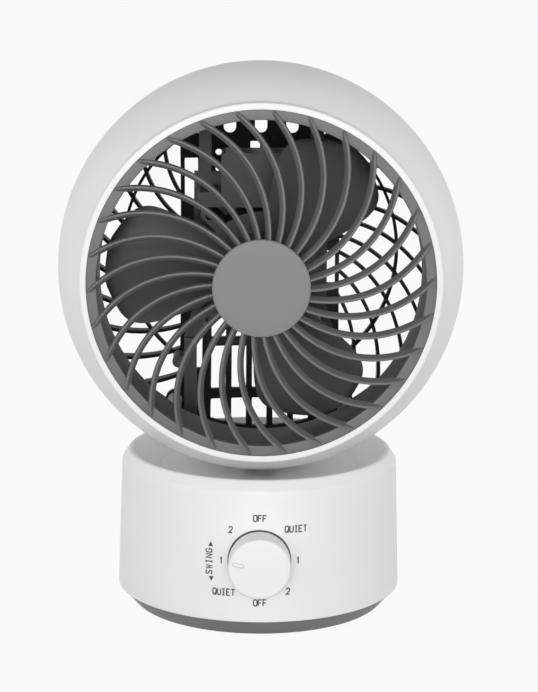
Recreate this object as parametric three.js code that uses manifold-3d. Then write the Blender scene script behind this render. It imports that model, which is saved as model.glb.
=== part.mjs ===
// Air circulator fan: a ball-shaped head on a round base with one rotary knob.
// Millimetres, +Z up, the fan blows towards -Y. The bounding box stands centred on the origin.
import * as THREE from 'three';
import { mergeVertices } from 'three/addons/utils/BufferGeometryUtils.js';
import Module from 'manifold-3d';

const wasm = await Module();
wasm.setup();

// ---- Clearances -----------------------------------------------------------------------------
const seat = 0.4;               // between pieces that rest on or in each other
const running = 0.2;            // round a shaft that turns in a hole
const screwPlay = 0.35;         // round the shank of a screw

// ---- Head -----------------------------------------------------------------------------------
const headRadius = 104;         // outside of the ball
const shellWall = 2.5;
const openingRadius = headRadius - 17.8;  // front opening
const lipProud = 1.6;           // the lip stands this far in front of the ball's own edge
const lipReach = Math.sqrt(headRadius ** 2 - openingRadius ** 2) + lipProud;
const lipWidth = 2.6;
const seamReach = 2;            // front and rear shell meet behind the centre
const rearReach = headRadius * 0.346;  // rear edge of the shell
const innerRadius = headRadius - shellWall;
const lipOuter = openingRadius + lipWidth * 0.8;
const lipRoot = -Math.sqrt(headRadius ** 2 - lipOuter ** 2);  // where the ball turns into the lip
const lipInnerEnd = lipRoot + 4;

// ---- Front guard ----------------------------------------------------------------------------
const ribCount = 30;
const ribCrest = 1.1;           // a rib is a wedge: narrow in front, wide at its root
const ribRoot = 2.8;
const ribDepth = 3.6;
const ribProud = 0.9;           // in front of the lip where a rib meets the ring
const ribStart = -3.2;          // degrees, first rib at the cap's edge
const ribSweepRate = 0.31;      // degrees for each mm outwards
const ribSweepGrowth = 0.0029;
const ringBand = 5.2;           // width of the guard's outer ring
const ringDepth = 3.4;
const capRadius = 24;
const capReach = lipReach + 9.1;
const capThickness = 2.2;

// ---- Duct and blades ------------------------------------------------------------------------
const ductWall = 2;
const ductRadius = openingRadius - 4.7;  // inside
const ductEnd = -18;            // rear edge, measured along Y from the centre
const ductLugAngles = [20, 160, 200, 340];
const lugDepth = 3;
const lugHalf = 4;
const bladeTip = ductRadius - 3.2;
const bladeCount = 3;
const bladePhase = 55;          // degrees
const bladeMiddle = -28;        // along Y
const bladeRise = 20.8;         // front to rear edge of a blade at its widest
const bladeThickness = 2;
const hubRadius = 20;
const hubFront = -46;
const hubRear = -17;
const shaftRadius = 3;

// ---- Motor ----------------------------------------------------------------------------------
const motorHalf = 31;           // half side of the square housing
const motorFront = -8;
const motorSplit = 8;
const motorRear = 23.6;
const motorCavity = 26.8;       // radius
const motorWall = 3;
const motorCan = motorCavity + 2.7;  // outer radius
const motorLugHalf = 3;
const statorInner = 17.6;
const statorLength = 14;
const windingLength = 3;
const rotorGap = 0.6;
const bearingRadius = 7;
const bearingLength = 5;
const terminalHalf = 20.5;      // half width of the box on top of the motor
const terminalTop = 59;
const terminalShoulderHalf = 32.7;  // the box is wider up to its shoulder
const terminalShoulder = 39;
const terminalWall = 2;

// ---- Motor frame ----------------------------------------------------------------------------
const frameThickness = 3;
const framePlateHalf = 35;      // half width of its middle plate
const framePlateTop = 46;
const framePlateBottom = -32;
const frameHalf = 40;           // out to the lower legs
const legWidth = 6.5;
const legKnee = -42;            // the lower legs run straight down from here
const legDepth = 4;             // and stand this much further forward
const upperLegInner = 26;
const frameBoss = 3.3;
const frameBossDrop = 54;

// ---- Rear grille ----------------------------------------------------------------------------
const grilleCount = 30;
const grilleRibWidth = 2;
const grilleDepth = 3.2;
const grilleRibFlare = 6;       // the ribs are this much deeper at the rim
const grilleStart = 9.2;        // degrees, first rib at the band's edge
const grilleSweepRate = 0.4655; // degrees for each mm outwards, of the other hand
const grilleSweepGrowth = 0.0023;
const grilleDrop = 35.3;          // from the middle to the outer ring
const grilleBulge = 3.5;        // power of the dome's profile
const grilleRim = Math.sqrt(headRadius ** 2 - rearReach ** 2) - 0.2;
const grilleEdge = grilleRim - 2.8;
const grilleRingInner = grilleRim - 3.9;
const grilleEar = 5;            // round each screw in the ring
const middleRing = grilleRim - 23.4;
const middleRingHalf = 0.8;
const middleRingDepth = 4;
const grilleRingDepth = 3.4;
const bandHalf = 43.4;          // half width of the upright middle band
const postWidth = 2.2;
const barPitch = 11.2;          // upright bars of the band
const windowWidth = 7.9;
const upperRowTop = -30;
const middleRowTop = -55.2;
const middleRowBottom = -76.5;
const crossbar = 4.6;
const slotPitch = 16.8;         // U slots in the top of the band
const slotWidth = 6.6;
const slotBottom = 62.3;
const keyHole = 5.2;            // square hole under the slots
const keyHoleTop = 57.7;
const roundHoleX = -22.8;       // two small holes beside it
const roundHolePitch = 9.5;
const upperCell = 24;           // height of the cell beside each post, above the middle
const upperCellTop = 48.5;
const lowerCell = 18;           // and of the one below
const lowerCellTop = -2.5;
const sideCellInner = 34;
const narrowCellInner = 31.4;
const narrowCellHalf = 8.2;     // half height

// ---- Neck and tilt slide --------------------------------------------------------------------
const tiltDown = 10;            // degrees, head nods forward
const tiltUp = 15;
const slotHalf = 8.5;           // half width of the slot in the ball
const stemHalf = 7.8;
const stemLengthHalf = 4.5;
const linerWall = 2;
const linerHalf = 15;
const shoeWall = 3.2;
const shoeHalf = 13;
const shoeFront = 13.5;
const shoeRear = 5;
const shoePlay = 0.7;
const saddlePlay = 0.8;
const neckHalfWidth = 12;
const neckHalfLength = 9;
const slotSpare = 1;            // degrees that the slot runs past the stem
const stemAngle = THREE.MathUtils.radToDeg(Math.asin(stemLengthHalf / innerRadius));
const slotRearAngle = tiltUp + stemAngle + slotSpare;
const slotFrontAngle = tiltDown + stemAngle + slotSpare;

// ---- Base -----------------------------------------------------------------------------------
const footHeight = 1.5;
const plateHeight = 8.5;
const shellBottom = 10.5;
const shellBottomRadius = 73.8;
const rimHeight = 82.1;
const chamferHeight = rimHeight - 5.4;
const chamferRadius = shellBottomRadius - 2.2;
const rimRadius = chamferRadius - 3.6;
const baseWall = 2.4;
const plateRadius = shellBottomRadius - 8.7;
const plateFlare = shellBottomRadius - 1.6;
const plateFloor = 3;
const dishLowRadius = rimRadius - 16.8;
const dishLowHeight = rimHeight - 8.7;
const deckTop = dishLowHeight - 17.9;
const deckThickness = 3;
const turntableBottom = dishLowHeight - 7.4;
const turntableTop = dishLowHeight - 1.2;
const turntableWall = 2.5;
const headHeight = dishLowHeight + 0.45 + headRadius;  // ball centre above the floor
const bossRadius = 15.7;
const washerHeight = 1;
const washerRadius = 26;
const gearHeight = 6;
const retainerHeight = 1.6;
const postRadius = 4.5;
const postCircle = shellBottomRadius - 23.8;
const footRadius = 6;
const footCircle = shellBottomRadius - 21.8;
const footTurn = 22;            // degrees from a post to the next foot
const ballastRadius = 38;
const ballastHeight = 9;
const ballastBore = 8;

// ---- Swing gears ----------------------------------------------------------------------------
const gearModule = Math.round(dishLowRadius / 3.4) / 10;  // in steps of 0.1
const gearTeeth = 40;
const pinionTeeth = 12;
const gearBacklash = 0.4;
const gearSector = 62;          // degrees each side of the pinion that carry teeth
const gearAddendum = 0.75;      // shortened, in modules
const pinionAddendum = 0.9;
const gearDedendum = 1.25;
const pinionShaftRadius = 2.5;
const gearDistance = gearModule * (gearTeeth + pinionTeeth) / 2;
const retainerRadius = bossRadius + 2.8;
const swingCanRadius = gearDistance - retainerRadius - 0.5;
const swingCanHeight = 18;
const swingEar = swingCanRadius + 9;
const swingEarThickness = 2.5;
const swingEarHalf = 5;
const swingEarHole = swingEar - 4;

// ---- Knob and switch ------------------------------------------------------------------------
const knobHeight = 42;
const knobRadius = 15.4;
const knobBack = shellBottomRadius + 0.1;
const knobReach = knobBack + 13.3;  // front face, from the swing axis
const knobFillet = 1.6;
const knobShaftRadius = 3;
const switchHalf = 9.5;
const switchHalfWidth = 13;
const switchFront = shellBottomRadius - 7.8;
const switchBack = switchFront - 12;
const switchNeck = 4.4;
const nutRadius = 7;
const nutBack = shellBottomRadius - 0.4;
const nutFront = nutBack + 1.8;
const pointerAngle = 168;       // degrees, seen from the front
const pointerInner = 8;
const pointerOuter = 13.4;
const pointerWidth = 1.3;
const pointerDepth = 0.6;

// ---- Cord inlet -----------------------------------------------------------------------------
const inletHeight = 20;
const inletBore = 2.6;
const inletRadius = 4.2;
const inletFlange = 6;
const inletReach = shellBottomRadius + 1.9;

const coarse = 20;
const fine = 40;
const rad = THREE.MathUtils.degToRad;

// ---- Solids ---------------------------------------------------------------------------------
function solid(geometry) {
  const bare = geometry.index ? geometry.toNonIndexed() : geometry.clone();
  bare.deleteAttribute('normal');
  bare.deleteAttribute('uv');
  const merged = mergeVertices(bare, 1e-4);
  const index = merged.index.array;
  const position = merged.attributes.position;
  const faces = [];
  let volume = 0;
  const [a, b, c] = [new THREE.Vector3(), new THREE.Vector3(), new THREE.Vector3()];
  for (let i = 0; i < index.length; i += 3) {
    const [p, q, r] = [index[i], index[i + 1], index[i + 2]];
    if (p === q || q === r || r === p) continue;
    faces.push(p, q, r);
    a.fromBufferAttribute(position, p);
    b.fromBufferAttribute(position, q);
    c.fromBufferAttribute(position, r);
    volume += a.dot(b.cross(c));
  }
  if (volume < 0) faces.reverse();
  const mesh = new wasm.Mesh({
    numProp: 3,
    vertProperties: new Float32Array(position.array),
    triVerts: new Uint32Array(faces),
  });
  return new wasm.Manifold(mesh);
}

function geometryOf(body) {
  const mesh = body.getMesh();
  const geometry = new THREE.BufferGeometry();
  geometry.setAttribute('position', new THREE.BufferAttribute(new Float32Array(mesh.vertProperties), 3));
  geometry.setIndex(new THREE.BufferAttribute(new Uint32Array(mesh.triVerts), 1));
  geometry.computeVertexNormals();
  return geometry;
}

// A profile of [radius, height] pairs turned round the Y axis or the Z axis.
function turnedY(profile, segments = coarse) {
  const points = profile.map(([r, y]) => new THREE.Vector2(Math.max(r, 0), y));
  return solid(new THREE.LatheGeometry(points, segments));
}
function turnedZ(profile, segments = coarse) {
  const points = profile.map(([r, z]) => new THREE.Vector2(Math.max(r, 0), z));
  return solid(new THREE.LatheGeometry(points, segments).rotateX(Math.PI / 2));
}
const closed = (profile) => [...profile, profile[0]];
const disc = (radius, low, high) => [[0, low], [radius, low], [radius, high], [0, high]];
const ring = (inner, outer, low, high) => closed([[inner, low], [outer, low], [outer, high], [inner, high]]);

function box(x0, x1, y0, y1, z0, z1) {
  const geometry = new THREE.BoxGeometry(x1 - x0, y1 - y0, z1 - z0);
  return solid(geometry.translate((x0 + x1) / 2, (y0 + y1) / 2, (z0 + z1) / 2));
}

// A shape drawn in X and Z, pushed along Y from near to far.
const extrude = (shape, depth, curveSegments) =>
  new THREE.ExtrudeGeometry(shape, { depth, bevelEnabled: false, curveSegments });
function plateXZ(shape, near, far, curveSegments = 1) {
  const geometry = extrude(shape, far - near, curveSegments);
  return solid(geometry.rotateX(Math.PI / 2).translate(0, far, 0));
}
// A shape drawn in X and Y, raised along Z.
function plateXY(shape, low, high) {
  const geometry = extrude(shape, high - low, 2);
  return solid(geometry.translate(0, 0, low));
}
function roundedRect(x0, x1, z0, z1, corner) {
  const shape = new THREE.Shape();
  shape.moveTo(x0 + corner, z0);
  shape.lineTo(x1 - corner, z0);
  shape.absarc(x1 - corner, z0 + corner, corner, -Math.PI / 2, 0);
  shape.lineTo(x1, z1 - corner);
  shape.absarc(x1 - corner, z1 - corner, corner, 0, Math.PI / 2);
  shape.lineTo(x0 + corner, z1);
  shape.absarc(x0 + corner, z1 - corner, corner, Math.PI / 2, Math.PI);
  shape.lineTo(x0, z0 + corner);
  shape.absarc(x0 + corner, z0 + corner, corner, Math.PI, Math.PI * 1.5);
  return shape;
}

// A closed skin through sections that all have the same number of points, capped at both ends.
function loft(sections) {
  const count = sections[0].length;
  const position = sections.flat().flatMap((p) => [p.x, p.y, p.z]);
  const index = [];
  for (let s = 0; s + 1 < sections.length; s++) {
    for (let i = 0; i < count; i++) {
      const [a, b] = [s * count + i, s * count + (i + 1) % count];
      index.push(a, b, b + count, a, b + count, a + count);
    }
  }
  const last = (sections.length - 1) * count;
  for (let i = 1; i + 1 < count; i++) {
    index.push(0, i + 1, i, last, last + i, last + i + 1);
  }
  const geometry = new THREE.BufferGeometry();
  geometry.setAttribute('position', new THREE.Float32BufferAttribute(position, 3));
  geometry.setIndex(index);
  return solid(geometry);
}

// One point of the head from its front-view polar place and its depth.
const polar = (r, degrees, y) =>
  new THREE.Vector3(r * Math.cos(rad(degrees)), y, r * Math.sin(rad(degrees)));

// An arc of the ball as [radius, y] pairs between two depths.
function ballArc(radius, from, to, steps) {
  const [a0, a1] = [Math.asin(from / radius), Math.asin(to / radius)];
  return Array.from({ length: steps + 1 }, (_, i) => {
    const a = a0 + (a1 - a0) * i / steps;
    return [radius * Math.cos(a), radius * Math.sin(a)];
  });
}
const ball = (radius) => turnedY(ballArc(radius, -radius, radius, fine / 2), fine);

// ---- Scene graph ----------------------------------------------------------------------------
function surface(color, roughness, metalness = 0) {
  return new THREE.MeshStandardMaterial({ color, roughness, metalness });
}
const white = surface(0xf1f1f1, 0.4);
const grey = surface(0x6e6e6e, 0.5);
const capGrey = surface(0x909090, 0.45);
const dark = surface(0x454545, 0.5);
const black = surface(0x232323, 0.55);
const plateGrey = surface(0x757575, 0.5);
const rubber = surface(0x303030, 0.9);
const steel = surface(0xa8a8a8, 0.35, 0.9);
const iron = surface(0x5c5c5c, 0.6, 0.8);
const copper = surface(0xb06a36, 0.4, 0.8);
const brass = surface(0xc2a35a, 0.35, 0.9);
const nylon = surface(0xe4e1d6, 0.5);

const fan = new THREE.Group();
fan.position.y = (knobReach - inletReach) / 2;
const head = new THREE.Group();
head.position.z = headHeight;
fan.add(head);

function piece(parent, name, material, body) {
  const mesh = new THREE.Mesh(geometryOf(body), material);
  mesh.name = name;
  parent.add(mesh);
  return mesh;
}

// ---- Head shells ----------------------------------------------------------------------------
const screwCircle = grilleRim - 6.5;
const bossOuter = 4;
const webHalf = 1.2;
const shankRadius = 1.5;
const screwHole = shankRadius + screwPlay;
const grilleScrewSeat = rearReach + 3.2;  // floor of the recesses in the grille's ears
const screwHead = 3;
const headScrewAngles = [66, 114, 240, 300];

function alongY(angle, circle, radius, y0, y1, segments = 8) {
  const p = polar(circle, angle, 0);
  return turnedY(disc(radius, y0, y1), segments).translate([p.x, 0, p.z]);
}

// A boss inside the ball, with the web that ties it to the wall.
function shellBoss(angle, y0, y1) {
  const web = box(screwCircle, headRadius, y0, y1, -webHalf, webHalf);
  const place = web.rotate([0, -angle, 0]);
  return alongY(angle, screwCircle, bossOuter, y0, y1).add(place);
}
function withBosses(shell, y0, y1) {
  const inside = ball(innerRadius + shellWall / 2);
  const bosses = headScrewAngles.map((angle) => shellBoss(angle, y0, y1));
  const holes = headScrewAngles.map((angle) => alongY(angle, screwCircle, screwHole, y0 - 1, y1 + 1));
  return shell.add(wasm.Manifold.union(bosses).intersect(inside)).subtract(wasm.Manifold.union(holes));
}

// The slot in the bottom of the ball that the neck's stem runs in.
function neckSlot(radius) {
  const front = -radius * Math.sin(rad(slotFrontAngle));
  const rear = radius * Math.sin(rad(slotRearAngle));
  return box(-slotHalf, slotHalf, front, rear, -headRadius - 5, -headRadius * 0.8);
}

function frontShell() {
  const outer = ballArc(headRadius, seamReach, lipRoot, 5);
  const inner = ballArc(innerRadius, lipInnerEnd, seamReach, 5);
  const lip = [
    [lipOuter, -lipReach + 1.6],
    [openingRadius + lipWidth * 0.45, -lipReach + 0.2],
    [openingRadius + lipWidth * 0.1, -lipReach + 0.3],
    [openingRadius, -lipReach + 1.2],
    [openingRadius, lipInnerEnd],
  ];
  const shell = turnedY(closed([...outer, ...lip, ...inner]), fine);
  return withBosses(shell, -22, seamReach).subtract(neckSlot(headRadius));
}
piece(head, 'front_shell', white, frontShell());

function rearShell() {
  const near = seamReach + seat;
  const outer = ballArc(headRadius, near, rearReach, 3);
  const inner = ballArc(innerRadius, rearReach, near, 3);
  return withBosses(turnedY(closed([...outer, ...inner]), fine), near, rearReach - 2)
    .subtract(neckSlot(headRadius));
}
piece(head, 'rear_shell', white, rearShell());

for (const [i, angle] of headScrewAngles.entries()) {
  const back = grilleScrewSeat + seat;
  const shank = turnedY(disc(shankRadius, -18, back), 8);
  const headPart = turnedY(disc(screwHead, back, back + 2), 8);
  const p = polar(screwCircle, angle, 0);
  piece(head, `head_screw_${i + 1}`, steel, shank.add(headPart)).position.set(p.x, 0, p.z);
}

// ---- Front guard ----------------------------------------------------------------------------
const guardRadius = openingRadius - seat;
const ringFront = -lipReach + 0.6;

function guardRidge(r) {
  const t = (r - capRadius) / (guardRadius - capRadius);
  return -capReach + capThickness + t * t * (capReach - capThickness - lipReach - ribProud);
}
const ribAngle = (r) => {
  const out = r - capRadius;
  return ribSweepRate * out + ribSweepGrowth * out * out;
};
function guardRib(start) {
  const [inner, outer, steps] = [capRadius - 3, guardRadius - 1.6, 5];
  const sections = [];
  for (let i = 0; i <= steps; i++) {
    const r = inner + (outer - inner) * i / steps;
    const middle = start + ribAngle(r);
    const crest = THREE.MathUtils.radToDeg(ribCrest / 2 / r);
    const root = THREE.MathUtils.radToDeg(ribRoot / 2 / r);
    const front = Math.max(guardRidge(r), -capReach + capThickness + 0.2);
    const rear = Math.min(front + ribDepth, ringFront + ringDepth);
    sections.push([
      polar(r, middle - root, rear), polar(r, middle - crest, front),
      polar(r, middle + crest, front), polar(r, middle + root, rear),
    ]);
  }
  return loft(sections);
}
function frontGuard() {
  const outer = turnedY(ring(guardRadius - ringBand, guardRadius, ringFront, ringFront + ringDepth), fine);
  const hubBack = ringFront - 1.5;
  const collar = ring(capRadius - 5, capRadius - 1, -capReach + capThickness + seat, hubBack);
  const inner = turnedY(collar, coarse);
  const ribs = Array.from({ length: ribCount }, (_, i) => guardRib(ribStart + i * 360 / ribCount));
  return wasm.Manifold.union([outer, inner, ...ribs]);
}
piece(head, 'front_guard', grey, frontGuard());

function guardCap() {
  const back = -capReach + capThickness;
  const spigot = capRadius - 5 - seat;
  return turnedY([
    [0, -capReach], [capRadius * 0.75, -capReach + 0.25], [capRadius - 0.7, -capReach + 0.5],
    [capRadius, -capReach + 1.2], [capRadius, back], [spigot, back], [spigot, back + 4], [0, back + 4],
  ], 48);
}
piece(head, 'guard_cap', capGrey, guardCap());

// ---- Duct -----------------------------------------------------------------------------------
function ductRing() {
  const front = ringFront + ringDepth + seat;
  const wall = turnedY(ring(ductRadius, ductRadius + ductWall, front, ductEnd), fine);
  const reach = Math.sqrt((innerRadius - seat * 2) ** 2 - ductEnd ** 2);
  const lugs = ductLugAngles.map((angle) =>
    box(ductRadius + ductWall / 2, reach, ductEnd - lugDepth, ductEnd, -lugHalf, lugHalf)
      .rotate([0, -angle, 0]));
  return wall.add(wasm.Manifold.union(lugs).intersect(ball(innerRadius - seat)));
}
piece(head, 'duct_ring', dark, ductRing());

// ---- Blades ---------------------------------------------------------------------------------
const rotor = new THREE.Group();
head.add(rotor);

// Half the angle that a blade covers at a radius: wide inside, rounded off at the tip.
function bladeHalfAngle(r) {
  const t = THREE.MathUtils.clamp((r - hubRadius) / (bladeTip - hubRadius), 0, 1);
  return 31 - 3.4 * t - 8 * Math.pow(t, 5) - 8 * Math.pow(t, 16);
}
function blade(middle) {
  const sections = [];
  const [steps, across] = [7, 5];
  for (let i = 0; i <= steps; i++) {
    const r = hubRadius - 2 + (bladeTip - hubRadius + 2) * i / steps;
    const half = bladeHalfAngle(r);
    const rise = bladeRise * (0.75 + 0.25 * Math.min(1, r / 50));
    const skin = (offset) => Array.from({ length: across + 1 }, (_, j) => {
      const s = 2 * j / across - 1;
      const reach = r - (i === steps ? 3.5 * s * s * s * s : 0);
      const camber = 2.5 * (1 - s * s);
      return polar(reach, middle + half * s, bladeMiddle - rise * s / 2 + camber + offset);
    });
    sections.push([...skin(-bladeThickness / 2), ...skin(bladeThickness / 2).reverse()]);
  }
  return loft(sections);
}
function fanRotor() {
  const hub = turnedY([
    [0, hubFront], [hubRadius - 4, hubFront], [hubRadius - 1, hubFront + 1.5], [hubRadius, hubFront + 5],
    [hubRadius, hubRear], [hubRadius - 2.5, hubRear], [hubRadius - 2.5, hubRear - 18],
    [8, hubRear - 18], [8, hubRear], [0, hubRear],
  ], coarse);
  const blades = Array.from({ length: bladeCount }, (_, i) => blade(bladePhase + i * 360 / bladeCount));
  const core = turnedY(disc(hubRadius - 2.5, hubRear - 17.9, 0), coarse);
  const bore = turnedY(disc(shaftRadius + running, hubFront - 1, 0), 24);
  const clear = core.subtract(turnedY(disc(8, hubRear - 19, 1), 24));
  return wasm.Manifold.union(blades).subtract(clear).add(hub).subtract(bore);
}
piece(rotor, 'fan_rotor', dark, fanRotor());

const nutLength = 7;
const nutWidth = 8.5;
function spinnerNut() {
  const back = hubFront - seat;
  const body = turnedY([
    [0, back - nutLength], [5, back - nutLength + 0.8], [nutWidth, back - 3], [nutWidth, back], [0, back],
  ], 24);
  return body.subtract(turnedY(disc(shaftRadius + running, back - 5, back + 1), 24));
}
piece(rotor, 'spinner_nut', nylon, spinnerNut());

const shaftFront = hubFront - seat - 4.6;
const shaftRear = motorRear - motorWall - 0.6;
piece(rotor, 'motor_shaft', steel, turnedY(disc(shaftRadius, shaftFront, shaftRear), 24));

const statorMiddle = motorSplit;
const rotorHalf = statorLength / 2;
const [coreFront, coreRear] = [statorMiddle - rotorHalf, statorMiddle + rotorHalf];
piece(rotor, 'motor_rotor', iron, turnedY(
  ring(shaftRadius + running, statorInner - rotorGap, coreFront, coreRear), coarse));

// ---- Motor ----------------------------------------------------------------------------------
const motorScrew = motorHalf - 4.5;
const motorCorners = [[1, 1], [-1, 1], [-1, -1], [1, -1]];

function motorHoles(radius, y0, y1) {
  return wasm.Manifold.union(motorCorners.map(([sx, sz]) =>
    turnedY(disc(radius, y0, y1), 8).translate([sx * motorScrew, 0, sz * motorScrew])));
}
function motorHalfShell(y0, y1, closedEnd) {
  const outline = roundedRect(-motorHalf, motorHalf, -motorHalf, motorHalf, 4);
  const lugs = [45, -45].map((angle) =>
    box(-motorHalf * 2, motorHalf * 2, y0, y1, -motorLugHalf, motorLugHalf).rotate([0, angle, 0]));
  const corners = wasm.Manifold.union(lugs).intersect(plateXZ(outline, y0, y1));
  const [c0, c1] = closedEnd < 0 ? [y0 + motorWall, y1 + 1] : [y0 - 1, y1 - motorWall];
  const cavity = turnedY(disc(motorCavity, c0, c1), coarse);
  return turnedY(disc(motorCan, y0, y1), coarse).add(corners).subtract(cavity)
    .subtract(motorHoles(screwHole, y0 - 1, y1 + 1));
}
function motorFrontHousing() {
  const boss = turnedY(disc(bearingRadius + 2, motorFront - 3, motorFront + motorWall), coarse);
  const pocket = turnedY(disc(bearingRadius + seat / 2, motorFront, motorFront + motorWall + 1), coarse);
  const hole = turnedY(disc(shaftRadius + running * 2, motorFront - 5, motorFront + 1), 24);
  return motorHalfShell(motorFront, motorSplit - seat / 2, -1).add(boss).subtract(pocket).subtract(hole);
}
piece(head, 'motor_housing_front', grey, motorFrontHousing());

function motorRearHousing() {
  const pocket = turnedY(disc(bearingRadius + seat / 2, motorRear - motorWall - 0.5, motorRear - 1), coarse);
  return motorHalfShell(motorSplit + seat / 2, motorRear, 1).subtract(pocket);
}
piece(head, 'motor_housing_rear', grey, motorRearHousing());

function bearing(y0, y1) {
  return turnedY(ring(shaftRadius + running, bearingRadius, y0, y1), 24);
}
piece(head, 'bearing_front', brass, bearing(motorFront + seat, motorFront + seat + bearingLength));
piece(head, 'bearing_rear', brass, bearing(motorRear - 1 - seat - bearingLength, motorRear - 1 - seat));

const statorOuter = motorCavity - seat;
piece(head, 'stator_core', iron, turnedY(ring(statorInner, statorOuter, coreFront, coreRear), coarse));
for (const [side, name] of [[-1, 'stator_winding_front'], [1, 'stator_winding_rear']]) {
  const near = statorMiddle + side * (rotorHalf + seat);
  const far = near + side * windingLength;
  piece(head, name, copper, turnedY(
    ring(statorInner + 1, statorOuter - 1.5, Math.min(near, far), Math.max(near, far)), coarse));
}

function terminalBox() {
  const floor = motorHalf + seat;
  const block = (wall, y0, y1) => {
    const [half, shoulderHalf] = [terminalHalf - wall, terminalShoulderHalf - wall];
    const upper = roundedRect(-half, half, floor + wall, terminalTop - wall, 2);
    const lower = roundedRect(-shoulderHalf, shoulderHalf, floor + wall, terminalShoulder - wall, 1.5);
    return plateXZ(upper, y0, y1).add(plateXZ(lower, y0, y1));
  };
  const inside = block(terminalWall, motorFront + terminalWall, motorRear);
  return block(0, motorFront, motorRear - 4).subtract(inside);
}
piece(head, 'terminal_box', grey, terminalBox());

// ---- Motor frame ----------------------------------------------------------------------------
const frameFront = motorRear + seat;
const frameRear = frameFront + frameThickness;

function motorFrame() {
  const plate = box(-framePlateHalf, framePlateHalf, frameFront, frameRear, framePlateBottom, framePlateTop);
  const legs = [-1, 1].flatMap((side) => {
    const [legInner, legOuter] = [frameHalf - legWidth, frameHalf];
    const shoulder = new THREE.Shape([
      [upperLegInner, framePlateBottom + legWidth], [framePlateHalf, framePlateBottom + legWidth],
      [legOuter, legKnee], [legInner, legKnee - 1], [upperLegInner, framePlateBottom],
    ].map(([x, z]) => new THREE.Vector2(side * x, z)));
    const bar = (inner, outer, front, z0, z1) => {
      const [x0, x1] = side > 0 ? [inner, outer] : [-outer, -inner];
      return box(x0, x1, front, frameRear, z0, z1);
    };
    const lower = bar(legInner, legOuter, frameFront - legDepth, -headRadius, legKnee);
    const upper = bar(upperLegInner, upperLegInner + legWidth, frameFront, 0, headRadius);
    const boss = turnedY(disc(frameBoss, frameFront - 8, frameRear + 5), 16)
      .translate([side * (frameHalf + frameBoss - 0.4), 0, -frameBossDrop]);
    return [plateXZ(shoulder, frameFront, frameRear), lower, upper, boss];
  });
  const hole = turnedY(disc(9, frameFront - 1, frameRear + 1), coarse);
  // Where a change of size brings a leg to a boss of the shells, the leg is notched round it.
  const bossRoom = headScrewAngles.map((angle) =>
    alongY(angle, screwCircle, bossOuter + seat, frameFront - legDepth - 1, frameRear + 6));
  return wasm.Manifold.union([plate, ...legs])
    .intersect(ball(innerRadius - seat))
    .subtract(hole)
    .subtract(wasm.Manifold.union(bossRoom))
    .subtract(motorHoles(screwHole, frameFront - 1, frameRear + 1));
}
piece(head, 'motor_frame', dark, motorFrame());

for (const [i, [sx, sz]] of motorCorners.entries()) {
  const back = frameRear + seat;
  const screw = turnedY(disc(shankRadius, motorFront + 4, back), 8)
    .add(turnedY(disc(screwHead, back, back + 2), 8));
  piece(head, `motor_screw_${i + 1}`, steel, screw).position.set(sx * motorScrew, 0, sz * motorScrew);
}

// ---- Rear grille ----------------------------------------------------------------------------
// Depth of the grille's inner face at a radius.
function grilleY(r) {
  return rearReach + seat + grilleDrop * (1 - (r / grilleEdge) ** grilleBulge);
}
function grilleDome(depth, reach) {
  const steps = 7;
  const radii = Array.from({ length: steps + 1 }, (_, i) => reach * i / steps);
  const inside = radii.map((r) => [r, grilleY(r)]);
  const outside = radii.map((r) => [r, grilleY(r) + depth]).reverse();
  return turnedY([...inside, ...outside], coarse);
}
function grilleRib(start) {
  const [inner, outer, steps] = [bandHalf - 3.9, grilleRingInner + 0.8, 4];
  const sections = [];
  for (let i = 0; i <= steps; i++) {
    const r = inner + (outer - inner) * i / steps;
    const middle = start - grilleSweepRate * (r - inner) - grilleSweepGrowth * (r - inner) ** 2;
    const half = THREE.MathUtils.radToDeg(grilleRibWidth / 2 / r);
    const near = grilleY(r);
    const far = near + grilleDepth + grilleRibFlare * (r / grilleEdge) ** 2;
    sections.push([
      polar(r, middle - half, far), polar(r, middle - half, near),
      polar(r, middle + half, near), polar(r, middle + half, far),
    ]);
  }
  return loft(sections);
}
// The windows and slots of the middle band, as solids to cut away.
function bandWindows() {
  const cut = (x0, x1, z0, z1) => box(Math.min(x0, x1), Math.max(x0, x1), 0, headRadius, z0, z1);
  const half = windowWidth / 2;
  const round = (radius, x, z) => turnedY(disc(radius, 0, headRadius), 8).translate([x, 0, z]);
  const windows = [
    cut(-keyHole - 0.5, -0.5, keyHoleTop - keyHole, keyHoleTop),
    round(1.8, roundHoleX, keyHoleTop - 6), round(1.8, roundHoleX, keyHoleTop - 6 - roundHolePitch),
  ];
  for (let column = -2; column <= 2; column++) {
    const x = column * barPitch;
    windows.push(cut(x - half, x + half, middleRowTop + crossbar, upperRowTop));
    windows.push(cut(x - half, x + half, middleRowBottom, middleRowTop));
    windows.push(cut(x - half, x + half, -grilleRingInner, middleRowBottom - crossbar));
    const slotX = column * slotPitch;
    const roundEnd = slotBottom + slotWidth / 2;
    windows.push(cut(slotX - slotWidth / 2, slotX + slotWidth / 2, roundEnd, grilleRingInner));
    windows.push(round(slotWidth / 2, slotX, roundEnd));
  }
  const narrowTop = middleRowTop + narrowCellHalf * 0.67;
  const narrowBottom = narrowTop - 2 * narrowCellHalf;
  for (const side of [-1, 1]) {
    const outer = side * (bandHalf - postWidth);
    windows.push(cut(side * sideCellInner, outer, upperCellTop - upperCell, upperCellTop));
    windows.push(cut(side * sideCellInner, outer, lowerCellTop - lowerCell, lowerCellTop));
    windows.push(cut(side * narrowCellInner, outer, narrowBottom, narrowTop));
  }
  return wasm.Manifold.union(windows);
}
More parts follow.
